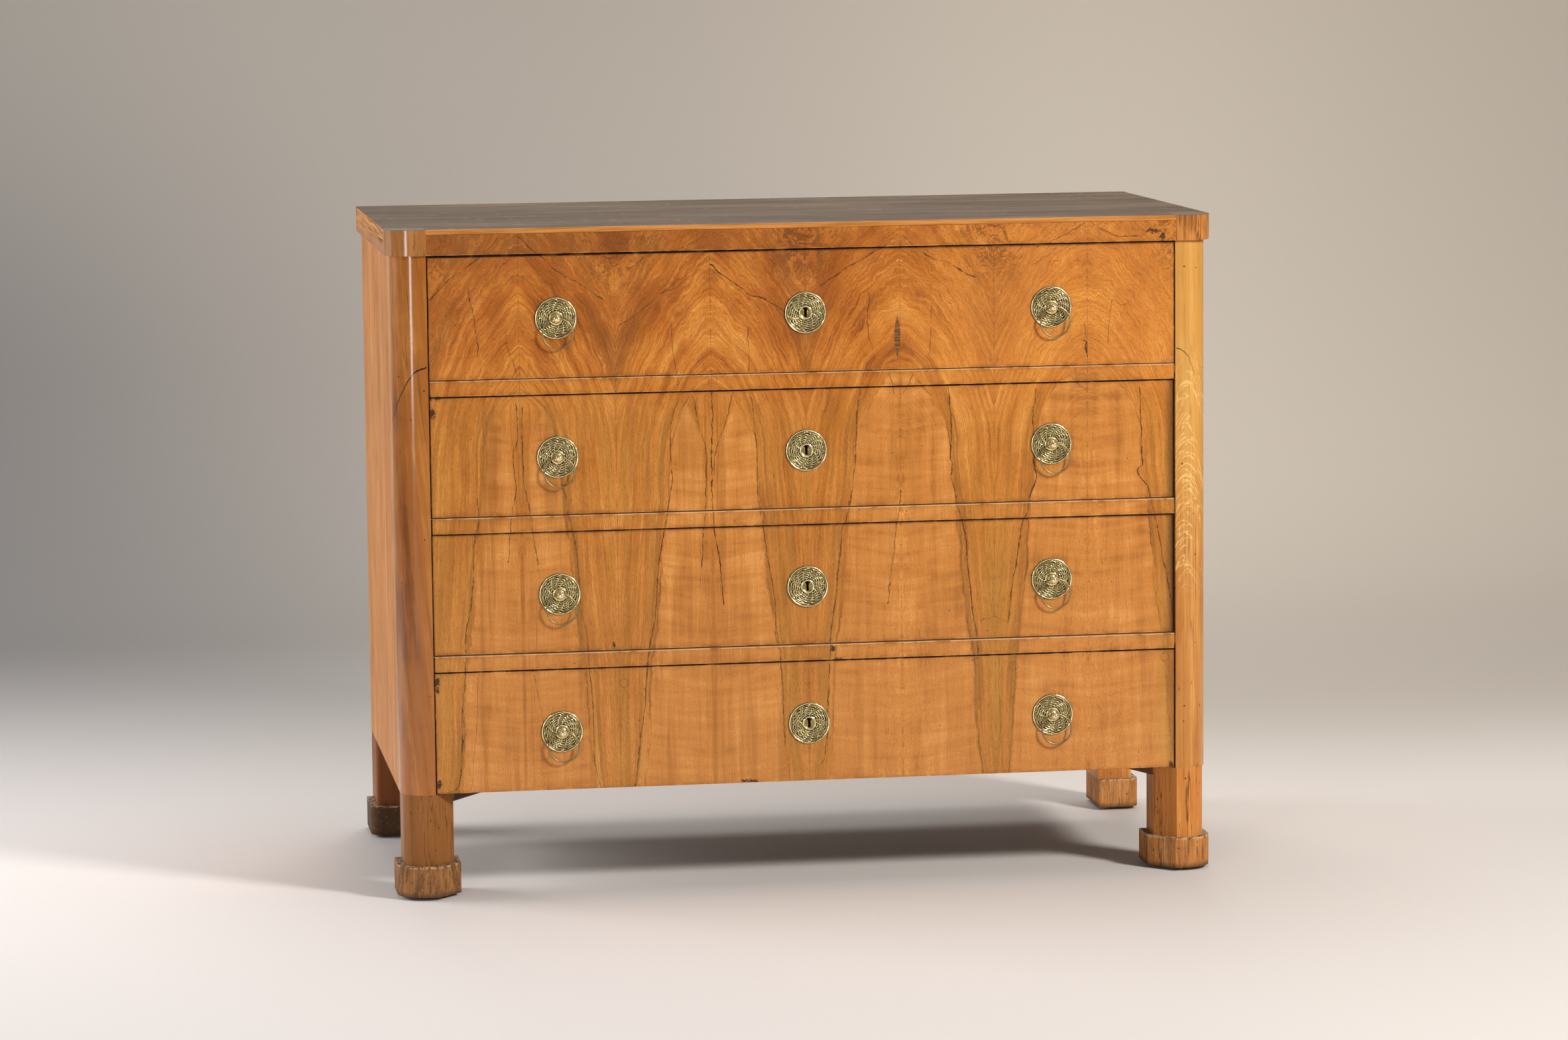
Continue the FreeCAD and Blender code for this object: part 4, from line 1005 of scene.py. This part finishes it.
for n in DRAWERS:
    body = "drawer_%d" % n
    low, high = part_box(body + "_escutcheon")
    face = high.y
    line = (low.z + high.z) / 2
    new_piece(body + "_key_plate", plate_mesh("key_plate_%d" % n, 0.4 * n, True),
              (0, face, line), body, "brass", plate_brass, body + "_escutcheon")
    low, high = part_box(body + "_pull_plates")
    for side, x, turn in (("left", low.x + PLATE_RADIUS * MM, 0.37),
                          ("right", high.x - PLATE_RADIUS * MM, 2.2)):
        new_piece("%s_plate_%s" % (body, side),
                  plate_mesh("plate_%d_%s" % (n, side), 1.1 * n + turn, False),
                  (x, face, line), body, "brass", plate_brass, body + "_pull_plates")
        new_piece("%s_post_%s" % (body, side), merged("post_%d_%s" % (n, side), [post, nut]),
                  (x, face, line), body, "brass", post_brass, body + "_pull_posts")
        ring = "%s_ring_%s" % (body, side)
        low_ring, high_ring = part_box(ring)
        new_piece(ring + "_wire", torus_mesh(ring + "_wire", 21.0, 1.22),
                  (low_ring + high_ring) / 2, ring, "brass", ring_brass, ring)


# Glides: low turned discs with rounded rims

low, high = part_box("glides")
TREAD = (high.z - low.z) / MM
GLIDE_RADIUS, ROUNDING = 20.0, 1.8
glide_profile = [(0.0, 0.0), (GLIDE_RADIUS - 2.2, 0.0)]
glide_profile += [(GLIDE_RADIUS - ROUNDING + ROUNDING * math.sin(math.radians(a)),
                   ROUNDING - ROUNDING * math.cos(math.radians(a))) for a in range(15, 91, 15)]
glide_profile += [(GLIDE_RADIUS, TREAD - 0.9), (GLIDE_RADIUS - 0.6, TREAD - 0.2),
                  (GLIDE_RADIUS - 1.2, TREAD), (0.0, TREAD)]
black = glide_black()
for end, x, y in (("front", 533.25, CASE_FRONT + 36.0), ("rear", 545.0, CASE_BACK - 42.5)):
    for side, way in (("left", -1), ("right", 1)):
        name = "glide_%s_%s" % (end, side)
        new_piece(name, turned_mesh(name, glide_profile, 48), (way * x * MM, y * MM, low.z),
                  "carcase", "glide", black, "glides", tilt=math.radians(90))


# Floor, backdrop, light and camera

def clear_from_behind(net, glow):
    """Makes the sweep see-through from its back, and glowing to the camera, as painted light,
    where glow says so.
    """
    output = next(node for node in net.tree.nodes if node.type == "OUTPUT_MATERIAL")
    shader = output.inputs["Surface"].links[0].from_node
    seen = Wire(net, net.node("LightPath").outputs["Is Camera Ray"])
    shader.inputs["Emission Color"].default_value = (0.9, 0.86, 0.82, 1.0)
    net.put(shader.inputs["Emission Strength"], seen * glow)
    both = net.node("MixShader")
    for place, source in enumerate((net.node("NewGeometry").outputs["Backfacing"],
                                    shader.outputs[0], net.node("BsdfTransparent").outputs[0])):
        net.put(both.inputs[place], source)
    net.put(output.inputs["Surface"], both.outputs[0])


def backdrop():
    """A paper sweep: floor, a wide bend and an upright back."""
    bend, start, top, half_width = 1.6, 2.2, 6.0, 40.0
    rows = [(y, 0.0) for y in (-half_width, -9.0, -3.0, 0.0, start)]
    for i in range(1, 25):
        a = math.pi / 2 * i / 24
        rows.append((start + bend * math.sin(a), bend * (1 - math.cos(a))))
    rows.append((start + bend, top))
    mesh = bpy.data.meshes.new("sweep")
    points = [(x, y, z) for y, z in rows for x in (-half_width, half_width)]
    faces = [(2 * i, 2 * i + 1, 2 * i + 3, 2 * i + 2) for i in range(len(rows) - 1)]
    mesh.from_pydata(points, [], faces)
    mesh.shade_smooth()
    net = Net("studio_paper")
    # Painted light and shade on the paper: a pale floor, a darker bend and back, darker to the
    # left
    along = (net.y + net.z) * MM
    side = (net.x * MM).span(-1.3, 1.3)
    floor = net.mix(side, (0.81, 0.77, 0.755), (0.67, 0.625, 0.585))
    left = net.mix(along.span(0.0, 2.4), floor, (0.215, 0.204, 0.198))
    left = net.mix(along.span(3.6, 5.2), left, (0.37, 0.345, 0.31))
    right = net.mix(along.span(0.1, 1.3), floor, (0.48, 0.43, 0.375))
    right = net.mix(along.span(1.4, 3.4), right, (0.63, 0.56, 0.48))
    net.colour = net.mix(side, left, right)
    # Painted shade in the middle of the bend
    hollow = net.x.near(100, 1500) * along.span(2.4, 4.2)
    net.lay(hollow * 0.55, (0.34, 0.3, 0.265))
    soft = net.solid(0.002, 3.0)
    mesh.materials.append(net.done(soft.span(0.3, 0.7, 0.85, 0.95), soft * 0.2, specular=0.2))
    # Painted light: the paper far from the chest, towards the camera and the sides, glows to the
    # camera
    far = net.most((net.y * -MM).span(2.5, 7.0), (abs(net.x) * MM).span(2.5, 6.0))
    clear_from_behind(net, far * 0.55)
    add("studio_sweep", mesh)


def softbox(name, place, aim, size, power, colour=(1, 1, 1)):
    lamp = bpy.data.lights.new(name, "AREA")
    lamp.shape = "RECTANGLE"
    lamp.size, lamp.size_y = size
    lamp.energy = power
    lamp.color = colour
    made = add(name, lamp)
    made.location = place
    made.rotation_euler = (Vector(aim) - Vector(place)).to_track_quat("-Z", "Y").to_euler()


backdrop()
softbox("key_right", (2.8, -3.0, 2.7), (0.1, 0.0, 0.5), (0.8, 0.8), 184, (1.0, 0.97, 0.93))
softbox("strip_left", (-1.75, -3.6, 0.85), (-0.5, -0.2, 0.5), (0.6, 1.05), 25)
softbox("side_left", (-3.4, 0.9, 1.5), (-0.5, 0.1, 0.5), (2.4, 1.3), 82)
softbox("rear_low", (0.2, 3.0, 2.5), (0.0, 0.2, 0.0), (2.4, 0.6), 36)
softbox("overhead", (0.3, 0.6, 4.2), (0.0, 0.4, 0.0), (3.2, 2.0), 48)
world = bpy.data.worlds.new("studio_air")
world.use_nodes = True
air = world.node_tree.nodes["Background"]
air.inputs["Color"].default_value = (1.0, 0.98, 0.96, 1.0)
air.inputs["Strength"].default_value = 0.12
bpy.context.scene.world = world
bpy.context.scene.view_settings.view_transform = "Standard"

lens = bpy.data.cameras.new("camera")
lens.sensor_fit = "HORIZONTAL"
lens.sensor_width = 36.0
lens.lens = 115.59970511727691
lens.clip_end = 100.0
camera = add("camera", lens)
camera.location = (-1.08953332, -7.13853589, 1.36856252)
camera.rotation_euler = Euler([math.radians(v) for v in (82.99869455, 0.59278004, -8.82713256)])
bpy.context.scene.camera = camera
